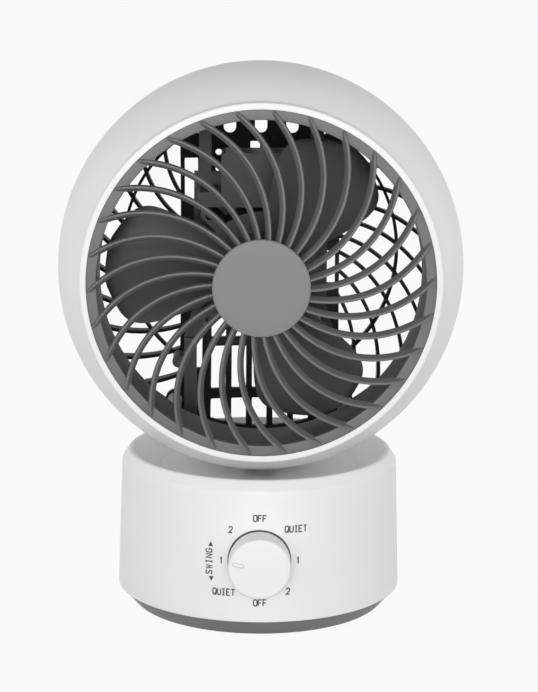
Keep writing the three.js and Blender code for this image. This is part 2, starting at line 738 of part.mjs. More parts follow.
function rearGrille() {
  const outer = turnedY(closed([
    [grilleRingInner, grilleY(grilleRingInner)], [grilleEdge, rearReach + seat],
    [grilleRim, rearReach + seat], [grilleRim - 0.6, rearReach + 2.4], [grilleEdge, rearReach + 3.6],
    [grilleRingInner, grilleY(grilleRingInner) + grilleRingDepth],
  ]), fine);
  const [low, high] = [middleRing - middleRingHalf, middleRing + middleRingHalf];
  const middle = turnedY(closed([
    [low, grilleY(low)], [high, grilleY(high)],
    [high, grilleY(high) + middleRingDepth], [low, grilleY(low) + middleRingDepth],
  ]), fine);
  const ribs = Array.from({ length: grilleCount }, (_, i) =>
    grilleRib(grilleStart + i * 360 / grilleCount));
  const sides = wasm.Manifold.union([middle, ...ribs])
    .subtract(box(-bandHalf + 1, bandHalf - 1, 0, headRadius, -headRadius, headRadius));
  const band = grilleDome(grilleDepth, grilleRingInner + 1)
    .intersect(box(-bandHalf, bandHalf, 0, headRadius, -grilleRingInner, grilleRingInner))
    .subtract(bandWindows());
  const ears = headScrewAngles.map((angle) =>
    alongY(angle, screwCircle, grilleEar, rearReach + seat, grilleScrewSeat + seat, 12));
  const holes = headScrewAngles.map((angle) =>
    alongY(angle, screwCircle, screwHole, 0, headRadius)
      .add(alongY(angle, screwCircle, screwHead + seat, grilleScrewSeat, headRadius, 12)));
  return wasm.Manifold.union([outer, sides, band, ...ears]).subtract(wasm.Manifold.union(holes));
}
piece(head, 'rear_grille', black, rearGrille());

// ---- Tilt slide -----------------------------------------------------------------------------
const linerOuter = innerRadius - seat;
const linerInner = linerOuter - linerWall;

function tiltTrack() {
  const front = -linerOuter * Math.sin(rad(slotFrontAngle + 5));
  const rear = linerOuter * Math.sin(rad(slotRearAngle - 2.5));
  return ball(linerOuter).subtract(ball(linerInner))
    .intersect(box(-linerHalf, linerHalf, front, rear, -headRadius, -headRadius * 0.6))
    .subtract(neckSlot(headRadius));
}
piece(head, 'tilt_track', dark, tiltTrack());

// ---- Turntable with the neck ----------------------------------------------------------------
const turntable = new THREE.Group();
fan.add(turntable);

const stemTop = headHeight - linerInner;
const shoeOuter = linerInner - shoePlay;
const shoeInner = shoeOuter - shoeWall;
const stemScrew = 2;
const bossBottom = deckTop - deckThickness - 1 - seat;
const neckLow = turntableTop - 1;

function turntableBody() {
  const discRadius = dishLowRadius - 0.8;
  const plate = turnedZ([
    [0, bossBottom], [bossRadius, bossBottom], [bossRadius, turntableTop - turntableWall],
    [discRadius - 4, turntableTop - turntableWall], [discRadius - 4, turntableBottom],
    [discRadius, turntableBottom], [discRadius, dishLowHeight - 0.5], [discRadius - 4, turntableTop],
    [0, turntableTop],
  ], 48);
  const neck = roundedRect(-neckHalfWidth, neckHalfWidth, -neckHalfLength, neckHalfLength, 4);
  const saddle = plateXY(neck, neckLow, headHeight - headRadius * 0.9)
    .subtract(ball(headRadius + saddlePlay).translate([0, 0, headHeight]));
  const stem = box(-stemHalf, stemHalf, -stemLengthHalf, stemLengthHalf, neckLow, stemTop);
  const upper = turnedZ(disc(stemScrew + screwPlay, stemTop - 9, stemTop + 1), 8);
  const lower = turnedZ(disc(stemScrew + screwPlay, bossBottom - 1, bossBottom + 8), 8);
  return plate.add(saddle).add(stem).subtract(upper).subtract(lower);
}
piece(turntable, 'turntable', white, turntableBody());

function tiltShoe() {
  return ball(shoeOuter).subtract(ball(shoeInner))
    .intersect(box(-shoeHalf, shoeHalf, -shoeFront, shoeRear, -headRadius, -headRadius * 0.6))
    .translate([0, 0, headHeight])
    .subtract(turnedZ(disc(stemScrew + screwPlay, stemTop - 1, stemTop + 9), 8));
}
piece(turntable, 'tilt_shoe', nylon, tiltShoe());

function shoeScrew() {
  const under = headHeight - shoeInner + seat;
  return turnedZ(disc(stemScrew, stemTop - 7, under), 8).add(turnedZ(disc(3.8, under, under + 2.2), 16));
}
piece(turntable, 'shoe_screw', steel, shoeScrew());

// ---- Swing gears ----------------------------------------------------------------------------
const pressure = rad(20);
const involute = (a) => Math.tan(a) - a;

// Points of one tooth, centred on an angle (radians), from one root to the other.
function toothPoints(teeth, addendum, centre) {
  const pitch = gearModule * teeth / 2;
  const base = pitch * Math.cos(pressure);
  const [tip, root] = [pitch + addendum * gearModule, pitch - gearDedendum * gearModule];
  const atPitch = Math.PI / (2 * teeth) - gearBacklash / 4 / pitch;
  const steps = 2;
  const flank = [];
  for (let i = 0; i <= steps; i++) {
    const r = Math.max(base, root) + (tip - Math.max(base, root)) * i / steps;
    flank.push([r, atPitch + involute(pressure) - involute(Math.acos(base / r))]);
  }
  const foot = [root, flank[0][1]];
  const side = root < base ? [foot, ...flank] : flank;
  const point = (r, angle) => new THREE.Vector2(r * Math.cos(angle), r * Math.sin(angle));
  const rising = side.map(([r, a]) => point(r, centre - a));
  const falling = side.map(([r, a]) => point(r, centre + a)).reverse();
  return [...rising, ...falling];
}
const gearPitch = gearModule * gearTeeth / 2;
const gearLow = deckTop + seat + washerHeight + seat;
const gearHigh = gearLow + gearHeight;

function swingGear() {
  const step = 2 * Math.PI / gearTeeth;
  const points = [];
  for (let i = 0; i < gearTeeth; i++) {
    const centre = Math.PI / 2 + step * (i - gearTeeth / 2);
    const toothed = Math.abs(i - gearTeeth / 2) * step <= rad(gearSector);
    if (toothed) points.push(...toothPoints(gearTeeth, gearAddendum, centre));
    else points.push(new THREE.Vector2(Math.cos(centre), Math.sin(centre)).multiplyScalar(gearPitch - 2.2));
  }
  const bore = turnedZ(disc(bossRadius + seat, gearLow - 1, gearHigh + 1), 48);
  return plateXY(new THREE.Shape(points), gearLow, gearHigh).subtract(bore);
}
piece(turntable, 'swing_gear', nylon, swingGear());

const deckBottom = deckTop - deckThickness;
function gearRetainer() {
  const top = bossBottom - seat;
  return turnedZ(ring(stemScrew + screwPlay, retainerRadius, top - retainerHeight, top), coarse);
}
piece(turntable, 'gear_retainer', steel, gearRetainer());
function retainerScrew() {
  const top = bossBottom - seat * 2 - retainerHeight;
  return turnedZ(disc(stemScrew, top, bossBottom + 6), 8).add(turnedZ(disc(3.8, top - 2.2, top), 16));
}
piece(turntable, 'retainer_screw', steel, retainerScrew());

const pinion = new THREE.Group();
pinion.position.y = gearDistance;
fan.add(pinion);
function swingPinion() {
  const step = 2 * Math.PI / pinionTeeth;
  const points = [];
  for (let i = 0; i < pinionTeeth; i++) {
    points.push(...toothPoints(pinionTeeth, pinionAddendum, -Math.PI / 2 + step * (i + 0.5)));
  }
  const bore = turnedZ(disc(pinionShaftRadius + running, gearLow - 1, gearHigh + 1), 16);
  return plateXY(new THREE.Shape(points), gearLow, gearHigh).subtract(bore);
}
piece(pinion, 'swing_pinion', nylon, swingPinion());
const canTop = deckBottom - seat;
piece(pinion, 'pinion_shaft', steel, turnedZ(disc(pinionShaftRadius, canTop - 7, gearHigh), 16));

// ---- Base -----------------------------------------------------------------------------------
const shellRadiusAt = (z) =>
  THREE.MathUtils.mapLinear(z, shellBottom, chamferHeight, shellBottomRadius, chamferRadius);
const dishEdge = rimRadius - baseWall - seat;
const ledgeHeight = rimHeight - 3.1;

function baseShell() {
  const inner = rimRadius - baseWall;
  const shell = turnedZ(closed([
    [shellBottomRadius, shellBottom], [chamferRadius, chamferHeight], [rimRadius + 1.1, rimHeight - 1.1],
    [rimRadius, rimHeight], [inner + 0.6, rimHeight], [inner, rimHeight - 0.6], [inner, ledgeHeight],
    [inner - 2.2, ledgeHeight], [inner - 2.2, ledgeHeight - 1.8],
    [chamferRadius - baseWall, chamferHeight - 2], [shellBottomRadius - baseWall, shellBottom],
  ]), fine);
  const beyond = shellBottomRadius + 5;
  const neck = turnedY(disc(switchNeck + seat, -beyond, -switchFront), 24).translate([0, 0, knobHeight]);
  const inlet = turnedY(disc(inletRadius + seat, 0, beyond), 24).translate([0, 0, inletHeight]);
  return shell.subtract(neck).subtract(inlet);
}
piece(fan, 'base_shell', white, baseShell());

const postAngles = [45, 135, 225, 315];
const plateBottom = footHeight;
const footRecess = 1.8;
const screwRecess = 1.9;
const plateTop = footHeight + plateFloor;
const around = (circle, angle) => [circle * Math.cos(rad(angle)), circle * Math.sin(rad(angle)), 0];

function topCover() {
  const dish = turnedZ(closed([
    [dishEdge, rimHeight - 0.3], [dishEdge - 5, rimHeight - 4.2],
    [dishLowRadius + 3, dishLowHeight + 1.4], [dishLowRadius, dishLowHeight], [dishLowRadius, deckTop],
    [bossRadius + seat, deckTop], [bossRadius + seat, deckBottom],
    [dishLowRadius + baseWall, deckBottom], [dishLowRadius + baseWall, dishLowHeight - 1],
    [dishEdge - 4.6, rimHeight - 6.4], [dishEdge - 2.2, ledgeHeight + seat], [dishEdge, ledgeHeight + seat],
  ]), fine);
  const posts = postAngles.map((angle) =>
    turnedZ(disc(postRadius, plateTop + seat, deckBottom + 1), 10).translate(around(postCircle, angle)));
  const holes = postAngles.map((angle) =>
    turnedZ(disc(shankRadius + 0.1, 0, plateTop + 16), 8).translate(around(postCircle, angle)));
  const shaftHole = turnedZ(disc(pinionShaftRadius + seat, deckBottom - 1, deckTop + 1), 16)
    .translate([0, gearDistance, 0]);
  const earHoles = [-1, 1].map((side) =>
    turnedZ(disc(screwHole, deckBottom - 1, deckTop + 1), 8)
      .translate([side * swingEarHole, gearDistance, 0]));
  const cuts = wasm.Manifold.union([...holes, shaftHole, ...earHoles]);
  return dish.add(wasm.Manifold.union(posts)).subtract(cuts);
}
piece(fan, 'top_cover', white, topCover());

piece(fan, 'thrust_washer', nylon, turnedZ(
  ring(bossRadius + seat, washerRadius, deckTop + seat, deckTop + seat + washerHeight), coarse));

function basePlate() {
  const lipTop = shellBottom - seat;
  const plate = turnedZ([
    [0, plateBottom], [plateRadius, plateBottom], [plateFlare - 1, plateHeight], [plateFlare, lipTop],
    [shellBottomRadius - baseWall - seat - 2, lipTop], [shellBottomRadius - baseWall - seat - 3, lipTop - 2],
    [plateRadius - 3, plateTop], [0, plateTop],
  ], fine);
  const recesses = postAngles.map((angle) => {
    const foot = turnedZ(disc(footRadius + seat, 0, plateBottom + footRecess), 8);
    const head = turnedZ(disc(screwHead + 0.6, 0, plateBottom + screwRecess), 8);
    const hole = turnedZ(disc(screwHole, 0, plateTop + 1), 8);
    return foot.translate(around(footCircle, angle + footTurn))
      .add(head.add(hole).translate(around(postCircle, angle)));
  });
  return plate.subtract(wasm.Manifold.union(recesses));
}
piece(fan, 'base_plate', plateGrey, basePlate());

for (const [i, angle] of postAngles.entries()) {
  const footTop = plateBottom + footRecess - seat;
  const [fx, fy] = around(footCircle, angle + footTurn);
  piece(fan, `foot_${i + 1}`, rubber, turnedZ(disc(footRadius, 0, footTop), 8)).position.set(fx, fy, 0);
  const [sx, sy] = around(postCircle, angle);
  const headTop = plateBottom + screwRecess - 0.3;
  const screw = turnedZ(disc(screwHead, plateBottom + 0.2, headTop), 8)
    .add(turnedZ(disc(shankRadius - 0.2, headTop - 0.1, plateTop + 12), 8));
  piece(fan, `base_screw_${i + 1}`, steel, screw).position.set(sx, sy, 0);
}

piece(fan, 'ballast_weight', iron, turnedZ(
  ring(ballastBore, ballastRadius, plateTop + seat, plateTop + seat + ballastHeight), coarse));

// ---- Swing motor ----------------------------------------------------------------------------
function swingMotor() {
  const can = turnedZ(disc(swingCanRadius, canTop - swingCanHeight, canTop), coarse);
  const ears = box(-swingEar, swingEar, -swingEarHalf, swingEarHalf, canTop - swingEarThickness, canTop);
  const bore = turnedZ(disc(pinionShaftRadius + running, canTop - 8, canTop + 1), 16);
  const holes = [-1, 1].map((side) =>
    turnedZ(disc(screwHole, canTop - 5, canTop + 1), 8).translate([side * swingEarHole, 0, 0]));
  return can.add(ears).subtract(bore).subtract(wasm.Manifold.union(holes)).translate([0, gearDistance, 0]);
}
piece(fan, 'swing_motor', steel, swingMotor());
for (const [i, side] of [-1, 1].entries()) {
  const under = canTop - swingEarThickness - seat;
  const screw = turnedZ(disc(screwHead, under - 2, under), 8)
    .add(turnedZ(disc(shankRadius, under, deckTop), 8));
  piece(fan, `swing_screw_${i + 1}`, steel, screw).position.set(side * swingEarHole, gearDistance, 0);
}

// ---- Electrical pieces on the base plate ----------------------------------------------------
const benchTop = plateTop + seat;
// How far the terminal block and the capacitor stand from the swing axis.
const benchReach = (ballastRadius + plateRadius) / 2 + 1.5;
const blockHalf = 8;
const blockLengthHalf = 10;
const blockHeight = 10;
const capacitorRadius = 7;
const capacitorHeight = 24;
const blockTop = benchTop + blockHeight;
const block = box(-blockHalf, blockHalf, -blockLengthHalf, blockLengthHalf, benchTop, blockTop);
piece(fan, 'terminal_block', nylon, block).position.x = -benchReach;
const capacitor = turnedZ(disc(capacitorRadius, benchTop, benchTop + capacitorHeight), 20);
piece(fan, 'capacitor', black, capacitor).position.x = benchReach;

function cordGrommet() {
  const wall = shellRadiusAt(inletHeight);
  const [outside, inside] = [wall + seat, wall - baseWall - 1.4];
  return turnedY(closed([
    [inletBore, inside - 2], [inletRadius + 1.4, inside - 2], [inletRadius + 1.4, inside],
    [inletRadius, inside], [inletRadius, outside], [inletFlange, outside],
    [inletFlange - 0.6, inletReach], [inletBore, inletReach],
  ]), 20);
}
piece(fan, 'cord_grommet', rubber, cordGrommet()).position.z = inletHeight;

// ---- Switch and knob ------------------------------------------------------------------------
function switchBody() {
  const block = box(-switchHalfWidth, switchHalfWidth, -switchFront, -switchBack, -switchHalf, switchHalf);
  const neck = turnedY(disc(switchNeck, -nutFront - 0.6, -switchFront + 1), 24);
  const hole = turnedY(disc(knobShaftRadius + running, -nutFront - 2, -switchBack - 4), 24);
  return block.add(neck).subtract(hole);
}
piece(fan, 'rotary_switch', black, switchBody()).position.z = knobHeight;
const nut = turnedY(disc(nutRadius, -nutFront, -nutBack), 6)
  .subtract(turnedY(disc(switchNeck + running, -nutFront - 1, -nutBack + 1), 24));
piece(fan, 'switch_nut', steel, nut).position.z = knobHeight;

const knobGroup = new THREE.Group();
knobGroup.position.z = knobHeight;
fan.add(knobGroup);
const shaftTip = -knobReach + 6;
const pocket = -knobReach + pointerDepth;

function pointerShape(grow) {
  const half = pointerWidth / 2 + grow;
  return roundedRect(pointerInner - grow, pointerOuter + grow, -half, half, half - 0.01);
}
function knobBody() {
  const body = turnedY([
    [0, -knobReach], [knobRadius - knobFillet, -knobReach], [knobRadius - 0.5, -knobReach + 0.5],
    [knobRadius, -knobReach + knobFillet], [knobRadius, -knobBack], [0, -knobBack],
  ], 48);
  const recess = turnedY(disc(nutRadius + 2, -nutFront - 1.4, -knobBack + 1), 24);
  const bore = turnedY(disc(knobShaftRadius + running, shaftTip - seat, -knobBack + 1), 24);
  const mark = plateXZ(pointerShape(0.15), -knobReach - 1, pocket).rotate([0, -pointerAngle, 0]);
  return body.subtract(recess).subtract(bore).subtract(mark);
}
piece(knobGroup, 'knob', white, knobBody());
piece(knobGroup, 'knob_pointer', grey,
  plateXZ(pointerShape(0), -knobReach, pocket - 0.15).rotate([0, -pointerAngle, 0]));
piece(knobGroup, 'knob_shaft', steel, turnedY(disc(knobShaftRadius, shaftTip, -switchBack - 5), 24));

export default fan;
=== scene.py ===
import math

import bmesh
import bpy
from mathutils import Matrix, Vector


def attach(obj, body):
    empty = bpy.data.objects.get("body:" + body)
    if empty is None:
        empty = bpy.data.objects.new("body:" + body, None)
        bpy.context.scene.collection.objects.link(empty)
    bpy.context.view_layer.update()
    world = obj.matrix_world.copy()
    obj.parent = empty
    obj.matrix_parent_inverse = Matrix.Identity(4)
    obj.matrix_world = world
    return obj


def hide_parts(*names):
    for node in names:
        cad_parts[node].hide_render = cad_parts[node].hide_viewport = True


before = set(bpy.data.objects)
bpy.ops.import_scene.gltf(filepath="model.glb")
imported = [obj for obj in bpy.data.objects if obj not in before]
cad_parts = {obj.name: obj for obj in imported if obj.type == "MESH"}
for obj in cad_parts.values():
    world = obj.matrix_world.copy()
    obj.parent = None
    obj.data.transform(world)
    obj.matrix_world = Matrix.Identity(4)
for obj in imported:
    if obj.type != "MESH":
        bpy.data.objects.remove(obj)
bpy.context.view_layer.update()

# ---- Sizes, in millimetres -------------------------------------------------------------------
MM = 0.001
AXIS_Y = 5.75            # the swing axis stands this far behind the box's centre
HEAD_Z = 177.85          # centre of the ball
BALL = 104.0
BALL_INSIDE = 101.5
OPENING = 86.2
LIP_REACH = 59.79
SEAM = 2.0
REAR_EDGE = 35.98
CAP_REACH = 68.89
CAP_RADIUS = 24.0
DUCT = 81.5
DUCT_END = -18.0
TIP = 78.3
GRILLE_RIM = 97.38
GRILLE_EDGE = 94.58
RING_INNER = 93.48
MIDDLE_RING = 73.98
BAND_HALF = 43.4
SEAT = 0.4               # gap between two fixed pieces
ROUND = 160              # steps in a full turn
KNOB_Z = 42.0
KNOB_FACE = 87.2
KNOB_BACK = 73.9
KNOB_RADIUS = 15.4
POINTER_ANGLE = 168.0
SHELL_LOW = (73.8, 10.5)
CHAMFER = (71.6, 76.7)
RIM = (68.0, 82.1)
DISH_LOW = (51.2, 73.4)


def from_head(x, y, z):
    """A point of the head's own frame in the row frame, in metres."""
    return Vector((x * MM, (y + AXIS_Y) * MM, (z + HEAD_Z) * MM))


def from_base(x, y, z):
    """A point measured from the swing axis at the floor in the row frame, in metres."""
    return Vector((x * MM, (y + AXIS_Y) * MM, z * MM))


# ---- Materials -------------------------------------------------------------------------------
def new_material(name):
    """A material with its nodes, its links and its shader."""
    material = bpy.data.materials.new(name)
    material.use_nodes = True
    tree = material.node_tree
    return material, tree.nodes, tree.links, tree.nodes["Principled BSDF"]


def noise(nodes, links, place, scale, detail):
    texture = nodes.new("ShaderNodeTexNoise")
    texture.inputs["Scale"].default_value = scale
    texture.inputs["Detail"].default_value = detail
    links.new(place, texture.inputs["Vector"])
    return texture.outputs["Fac"]


def vary_gloss(nodes, links, shader, pattern, low, high):
    gloss = nodes.new("ShaderNodeMapRange")
    gloss.inputs["To Min"].default_value = low
    gloss.inputs["To Max"].default_value = high
    links.new(pattern, gloss.inputs["Value"])
    links.new(gloss.outputs["Result"], shader.inputs["Roughness"])


def vary_tone(nodes, links, shader, pattern, dark, light, ends=(0.0, 1.0)):
    tone = nodes.new("ShaderNodeValToRGB")
    for element, colour, end in zip(tone.color_ramp.elements, (dark, light), ends):
        element.position = end
        element.color = (*colour, 1)
    links.new(pattern, tone.inputs["Fac"])
    links.new(tone.outputs["Color"], shader.inputs["Base Color"])


def moulded(name, colour, rough, grain=0.02, grain_scale=900.0, vary=0.03, specular=0.5):
    """Moulded plastic: slow drifts of tone, a fine grain in the bump, gloss that varies a little."""
    material, nodes, links, shader = new_material(name)
    shader.inputs["Specular IOR Level"].default_value = specular
    place = nodes.new("ShaderNodeTexCoord").outputs["Object"]
    slow = noise(nodes, links, place, 22.0, 3.0)
    darker = [c * (1 - vary) for c in colour]
    lighter = [min(1, c * (1 + vary)) for c in colour]
    vary_tone(nodes, links, shader, slow, darker, lighter, ends=(0.3, 0.7))
    vary_gloss(nodes, links, shader, slow, rough - 0.05, rough + 0.06)
    bump = nodes.new("ShaderNodeBump")
    bump.inputs["Strength"].default_value = grain
    bump.inputs["Distance"].default_value = 0.0006
    links.new(noise(nodes, links, place, grain_scale, 2.0), bump.inputs["Height"])
    links.new(bump.outputs["Normal"], shader.inputs["Normal"])
    return material


def metal(name, colour, rough, streak=(40.0, 40.0, 900.0)):
    """Bare metal with drawn or rolled streaks in its gloss."""
    material, nodes, links, shader = new_material(name)
    shader.inputs["Metallic"].default_value = 1.0
    stretch = nodes.new("ShaderNodeMapping")
    stretch.inputs["Scale"].default_value = streak
    links.new(nodes.new("ShaderNodeTexCoord").outputs["Object"], stretch.inputs["Vector"])
    streaks = noise(nodes, links, stretch.outputs["Vector"], 3.0, 4.0)
    vary_tone(nodes, links, shader, streaks, [c * 0.82 for c in colour], colour)
    vary_gloss(nodes, links, shader, streaks, rough - 0.08, rough + 0.12)
    return material


def grey(level):
    return (level, level, level)


WHITE = moulded("white_satin", grey(0.88), 0.38, grain=0.03, vary=0.012)
KNOB_WHITE = moulded("knob_white", grey(0.89), 0.34, grain=0.02, vary=0.01)
GUARD = moulded("guard_grey", grey(0.145), 0.42, grain=0.05, vary=0.04)
CAP = moulded("cap_grey", grey(0.22), 0.5, grain=0.06, grain_scale=1500.0, vary=0.02)
DARK = moulded("dark_grey", grey(0.058), 0.48, grain=0.06, vary=0.05)
DUCT_GREY = moulded("duct_grey", grey(0.12), 0.48, grain=0.05, vary=0.04)
BLADE = moulded("blade_grey", grey(0.066), 0.36, grain=0.03, vary=0.05)
BLACK = moulded("near_black", grey(0.02), 0.5, grain=0.06, vary=0.08)
PLATE = moulded("plate_grey", grey(0.17), 0.5, grain=0.06, vary=0.05)
NYLON = moulded("nylon", (0.72, 0.70, 0.64), 0.5, grain=0.03, vary=0.03)
RUBBER = moulded("rubber_black", grey(0.03), 0.8, grain=0.15, grain_scale=600.0, vary=0.1,
                 specular=0.3)
# Grey of the printed legends, also used for the painted shadow line round the knob.
PRINT_AND_SHADOW = moulded("print_and_shadow_grey", grey(0.07), 0.6, grain=0.01, vary=0.02)
# Grey of the thin band lining the pointer's recess: painted shade on the recess's edges.
POINTER_EDGE_SHADE = moulded("pointer_edge_shade_grey", grey(0.62), 0.45, grain=0.02, vary=0.02)
BLACK_STEEL = metal("black_steel", (0.06, 0.06, 0.065), 0.45)
STEEL = metal("zinc_steel", (0.62, 0.63, 0.64), 0.35)
IRON = metal("lamination_iron", (0.28, 0.28, 0.29), 0.5, streak=(20.0, 2200.0, 20.0))
COPPER = metal("winding_copper", (0.72, 0.33, 0.14), 0.35, streak=(30.0, 1500.0, 30.0))
BRONZE = metal("bearing_bronze", (0.55, 0.40, 0.18), 0.4)


def four(stem):
    return [f"{stem}_{i}" for i in range(1, 5)]


# The solids that show as they are, by their finish.
CAD_FINISH = {
    BLACK_STEEL: [*four("head_screw"), *four("motor_screw")],
    STEEL: ["motor_shaft", "shoe_screw", "gear_retainer", "retainer_screw", "pinion_shaft",
            *four("base_screw"), "swing_motor", "swing_screw_1", "swing_screw_2", "switch_nut",
            "knob_shaft"],
    IRON: ["motor_rotor", "stator_core", "ballast_weight"],
    COPPER: ["stator_winding_front", "stator_winding_rear"],
    BRONZE: ["bearing_front", "bearing_rear"],
    NYLON: ["spinner_nut", "tilt_shoe", "swing_gear", "swing_pinion", "thrust_washer",
            "terminal_block"],
    RUBBER: [*four("foot"), "cord_grommet"],
    BLACK: ["capacitor", "rotary_switch", "tilt_track"],
    DARK: ["terminal_box", "motor_housing_front", "motor_housing_rear", "motor_frame"],
}
for finish, names in CAD_FINISH.items():
    for node_name in names:
        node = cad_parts[node_name]
        node.data.materials.clear()
        node.data.materials.append(finish)


# ---- Mesh building ---------------------------------------------------------------------------
def arc(radius, low, high, steps):
    """Points [radius, height] of a ball's profile between two heights."""
    a0, a1 = math.asin(low / radius), math.asin(high / radius)
    angles = [a0 + (a1 - a0) * i / steps for i in range(steps + 1)]
    return [(radius * math.cos(a), radius * math.sin(a)) for a in angles]


def softened(points, closed=True, steps=4):
    """Rounds each corner given as (r, h, fillet); corners without a third number stay."""
    out = []
    count = len(points)
    for i, point in enumerate(points):
        here = Vector(point[:2])
        fillet = point[2] if len(point) > 2 else 0
        if not fillet or (not closed and i in (0, count - 1)):
            out.append(tuple(here))
            continue
        before = Vector(points[i - 1][:2]) - here
        after = Vector(points[(i + 1) % count][:2]) - here
        reach = min(fillet, before.length * 0.49, after.length * 0.49)
        start = here + before.normalized() * reach
        end = here + after.normalized() * reach
        for k in range(steps + 1):
            t = k / steps
            out.append(tuple(start * (1 - t) ** 2 + here * (2 * t * (1 - t)) + end * t * t))
    return out


def revolved(profile, segments, turn, closed=True):
    """Vertices and faces of a profile turned round Y (the head) or Z (the base)."""
    verts, faces, rings = [], [], []
    for radius, height in profile:
        if radius < 1e-6:
            verts.append((0, height, 0) if turn == "Y" else (0, 0, height))
            rings.append([len(verts) - 1])
            continue
        ring = []
        for k in range(segments):
            a = 2 * math.pi * k / segments
            c, s = radius * math.cos(a), radius * math.sin(a)
            verts.append((c, height, s) if turn == "Y" else (c, s, height))
            ring.append(len(verts) - 1)
        rings.append(ring)
    pairs = list(zip(rings, rings[1:]))
    if closed:
        pairs.append((rings[-1], rings[0]))
    for one, two in pairs:
        for k in range(segments):
            n = (k + 1) % segments
            if len(one) == 1:
                faces.append((one[0], two[k], two[n]))
            elif len(two) == 1:
                faces.append((one[k], one[n], two[0]))
            else:
                faces.append((one[k], one[n], two[n], two[k]))
    return verts, faces


def block(x0, x1, y0, y1, z0, z1):
    verts = [(x, y, z) for x in (x0, x1) for y in (y0, y1) for z in (z0, z1)]
    faces = [(0, 1, 3, 2), (4, 6, 7, 5), (0, 4, 5, 1), (2, 3, 7, 6), (0, 2, 6, 4), (1, 5, 7, 3)]
    return verts, faces


def prism(outline, near, far):
    """A closed outline of (x, z) points pushed along Y."""
    count = len(outline)
    verts = [(x, near, z) for x, z in outline] + [(x, far, z) for x, z in outline]
    faces = [tuple(range(count)), tuple(range(count, 2 * count))]
    faces += [(i, (i + 1) % count, count + (i + 1) % count, count + i) for i in range(count)]
    return verts, faces


def column(outline, low, high):
    """A closed outline of (x, y) points pushed along Z."""
    verts, faces = prism(outline, low, high)
    return [(x, y, z) for x, z, y in verts], faces


def circle(x, z, radius, steps=24):
    turns = [2 * math.pi * k / steps for k in range(steps)]
    return [(x + radius * math.cos(a), z + radius * math.sin(a)) for a in turns]


def rounded_box(x0, x1, z0, z1, corner, steps=5):
    """Outline of a rectangle with round corners, in X and Z."""
    points = []
    left, right, low, high = x0 + corner, x1 - corner, z0 + corner, z1 - corner
    for cx, cz, start in ((right, high, 0), (left, high, 90), (left, low, 180), (right, low, 270)):
        for k in range(steps + 1):
            a = math.radians(start + 90 * k / steps)
            points.append((cx + corner * math.cos(a), cz + corner * math.sin(a)))
    return points


def joined(*solids):
    """Several bodies' vertices and faces in one mesh."""
    verts, faces = [], []
    for more_verts, more_faces in solids:
        faces += [tuple(i + len(verts) for i in f) for f in more_faces]
        verts += more_verts
    return verts, faces


def loft(sections, caps=True):
    """Skin through sections of as many points each, in order."""
    count = len(sections[0])
    verts = [p for section in sections for p in section]
    faces = []
    for s in range(len(sections) - 1):
        for i in range(count):
            n = (i + 1) % count
            faces.append((s * count + i, s * count + n, (s + 1) * count + n, (s + 1) * count + i))
    if caps:
        faces.append(tuple(range(count)))
        faces.append(tuple(range((len(sections) - 1) * count, len(sections) * count)))
    return verts, faces


def polar(radius, degrees, y):
    a = math.radians(degrees)
    return (radius * math.cos(a), y, radius * math.sin(a))


def rib_place(r, turn, slope):
    """The middle of a curved rib at a radius, and the way across it."""
    c, s = math.cos(turn), math.sin(turn)
    along = Vector((c - slope * s, s + slope * c))
    return Vector((r * c, r * s)), Vector((-along.y, along.x)).normalized()


def made(name, solid, place):
    """An object from vertices and faces, each vertex placed by a function such as from_head."""
    verts, faces = solid
    mesh = bpy.data.meshes.new(name)
    mesh.from_pydata([place(*v) for v in verts], [], faces)
    bm = bmesh.new()
    bm.from_mesh(mesh)
    bmesh.ops.remove_doubles(bm, verts=bm.verts, dist=1e-7)
    bmesh.ops.recalc_face_normals(bm, faces=bm.faces)
    bm.to_mesh(mesh)
    bm.free()
    obj = bpy.data.objects.new(name, mesh)
    bpy.context.collection.objects.link(obj)
    return obj


def baked(obj):
    """Applies the object's modifiers to its mesh."""
    graph = bpy.context.evaluated_depsgraph_get()
    mesh = bpy.data.meshes.new_from_object(obj.evaluated_get(graph))
    old = obj.data
    obj.modifiers.clear()
    obj.data = mesh
    bpy.data.meshes.remove(old)


def cut(obj, solid, place):
    """Cuts a solid out of an object."""
    tool = made("cutter", solid, place)
    boolean = obj.modifiers.new("cut", "BOOLEAN")
    boolean.object = tool
    boolean.operation = "DIFFERENCE"
    boolean.solver = "EXACT"
    baked(obj)
    bpy.data.objects.remove(tool)


def bevelled(obj, width, steps=3, angle=40):
    bevel = obj.modifiers.new("edges", "BEVEL")
    bevel.width = width * MM
    bevel.segments = steps
    bevel.limit_method = "ANGLE"
    bevel.angle_limit = math.radians(angle)
    baked(obj)


def finished(obj, material, body, nodes=(), sharp=38):
    """Smooth shading with sharp edges kept, the material, the body, the solids it stands for."""
    mesh = obj.data
    mesh.materials.clear()
    mesh.materials.append(material)
    bm = bmesh.new()
    bm.from_mesh(mesh)
    for face in bm.faces:
        face.smooth = True
        face.material_index = 0
    for edge in bm.edges:
        if len(edge.link_faces) == 2:
            edge.smooth = edge.calc_face_angle(0) < math.radians(sharp)
    bm.to_mesh(mesh)
    bm.free()
    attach(obj, body)
    if nodes:
        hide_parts(*nodes)


# ---- Ball ------------------------------------------------------------------------------------
SCREW_ANGLES = (66, 114, 240, 300)
SCREW_CIRCLE = GRILLE_RIM - 6.5
BOSS_RADIUS = 4
SLOT_HALF, SLOT_FRONT, SLOT_REAR = 8.5, -25.1, 33.1
SWELL_ABOVE, SWELL_BELOW = 0.011, 0.006  # the ball's extra height, as shares of it
SWELL_START, SWELL_RISE, SWELL_FALL = 2, 26, 16


def shell_bosses(y0, y1):
    parts = []
    for angle in SCREW_ANGLES:
        x, _, z = polar(SCREW_CIRCLE, angle, 0)
        parts.append(prism(circle(x, z, BOSS_RADIUS, 16), y0, y1))
    return parts


def neck_slot():
    return column(rounded_box(-SLOT_HALF, SLOT_HALF, SLOT_FRONT, SLOT_REAR, 3.0), -110, -80)


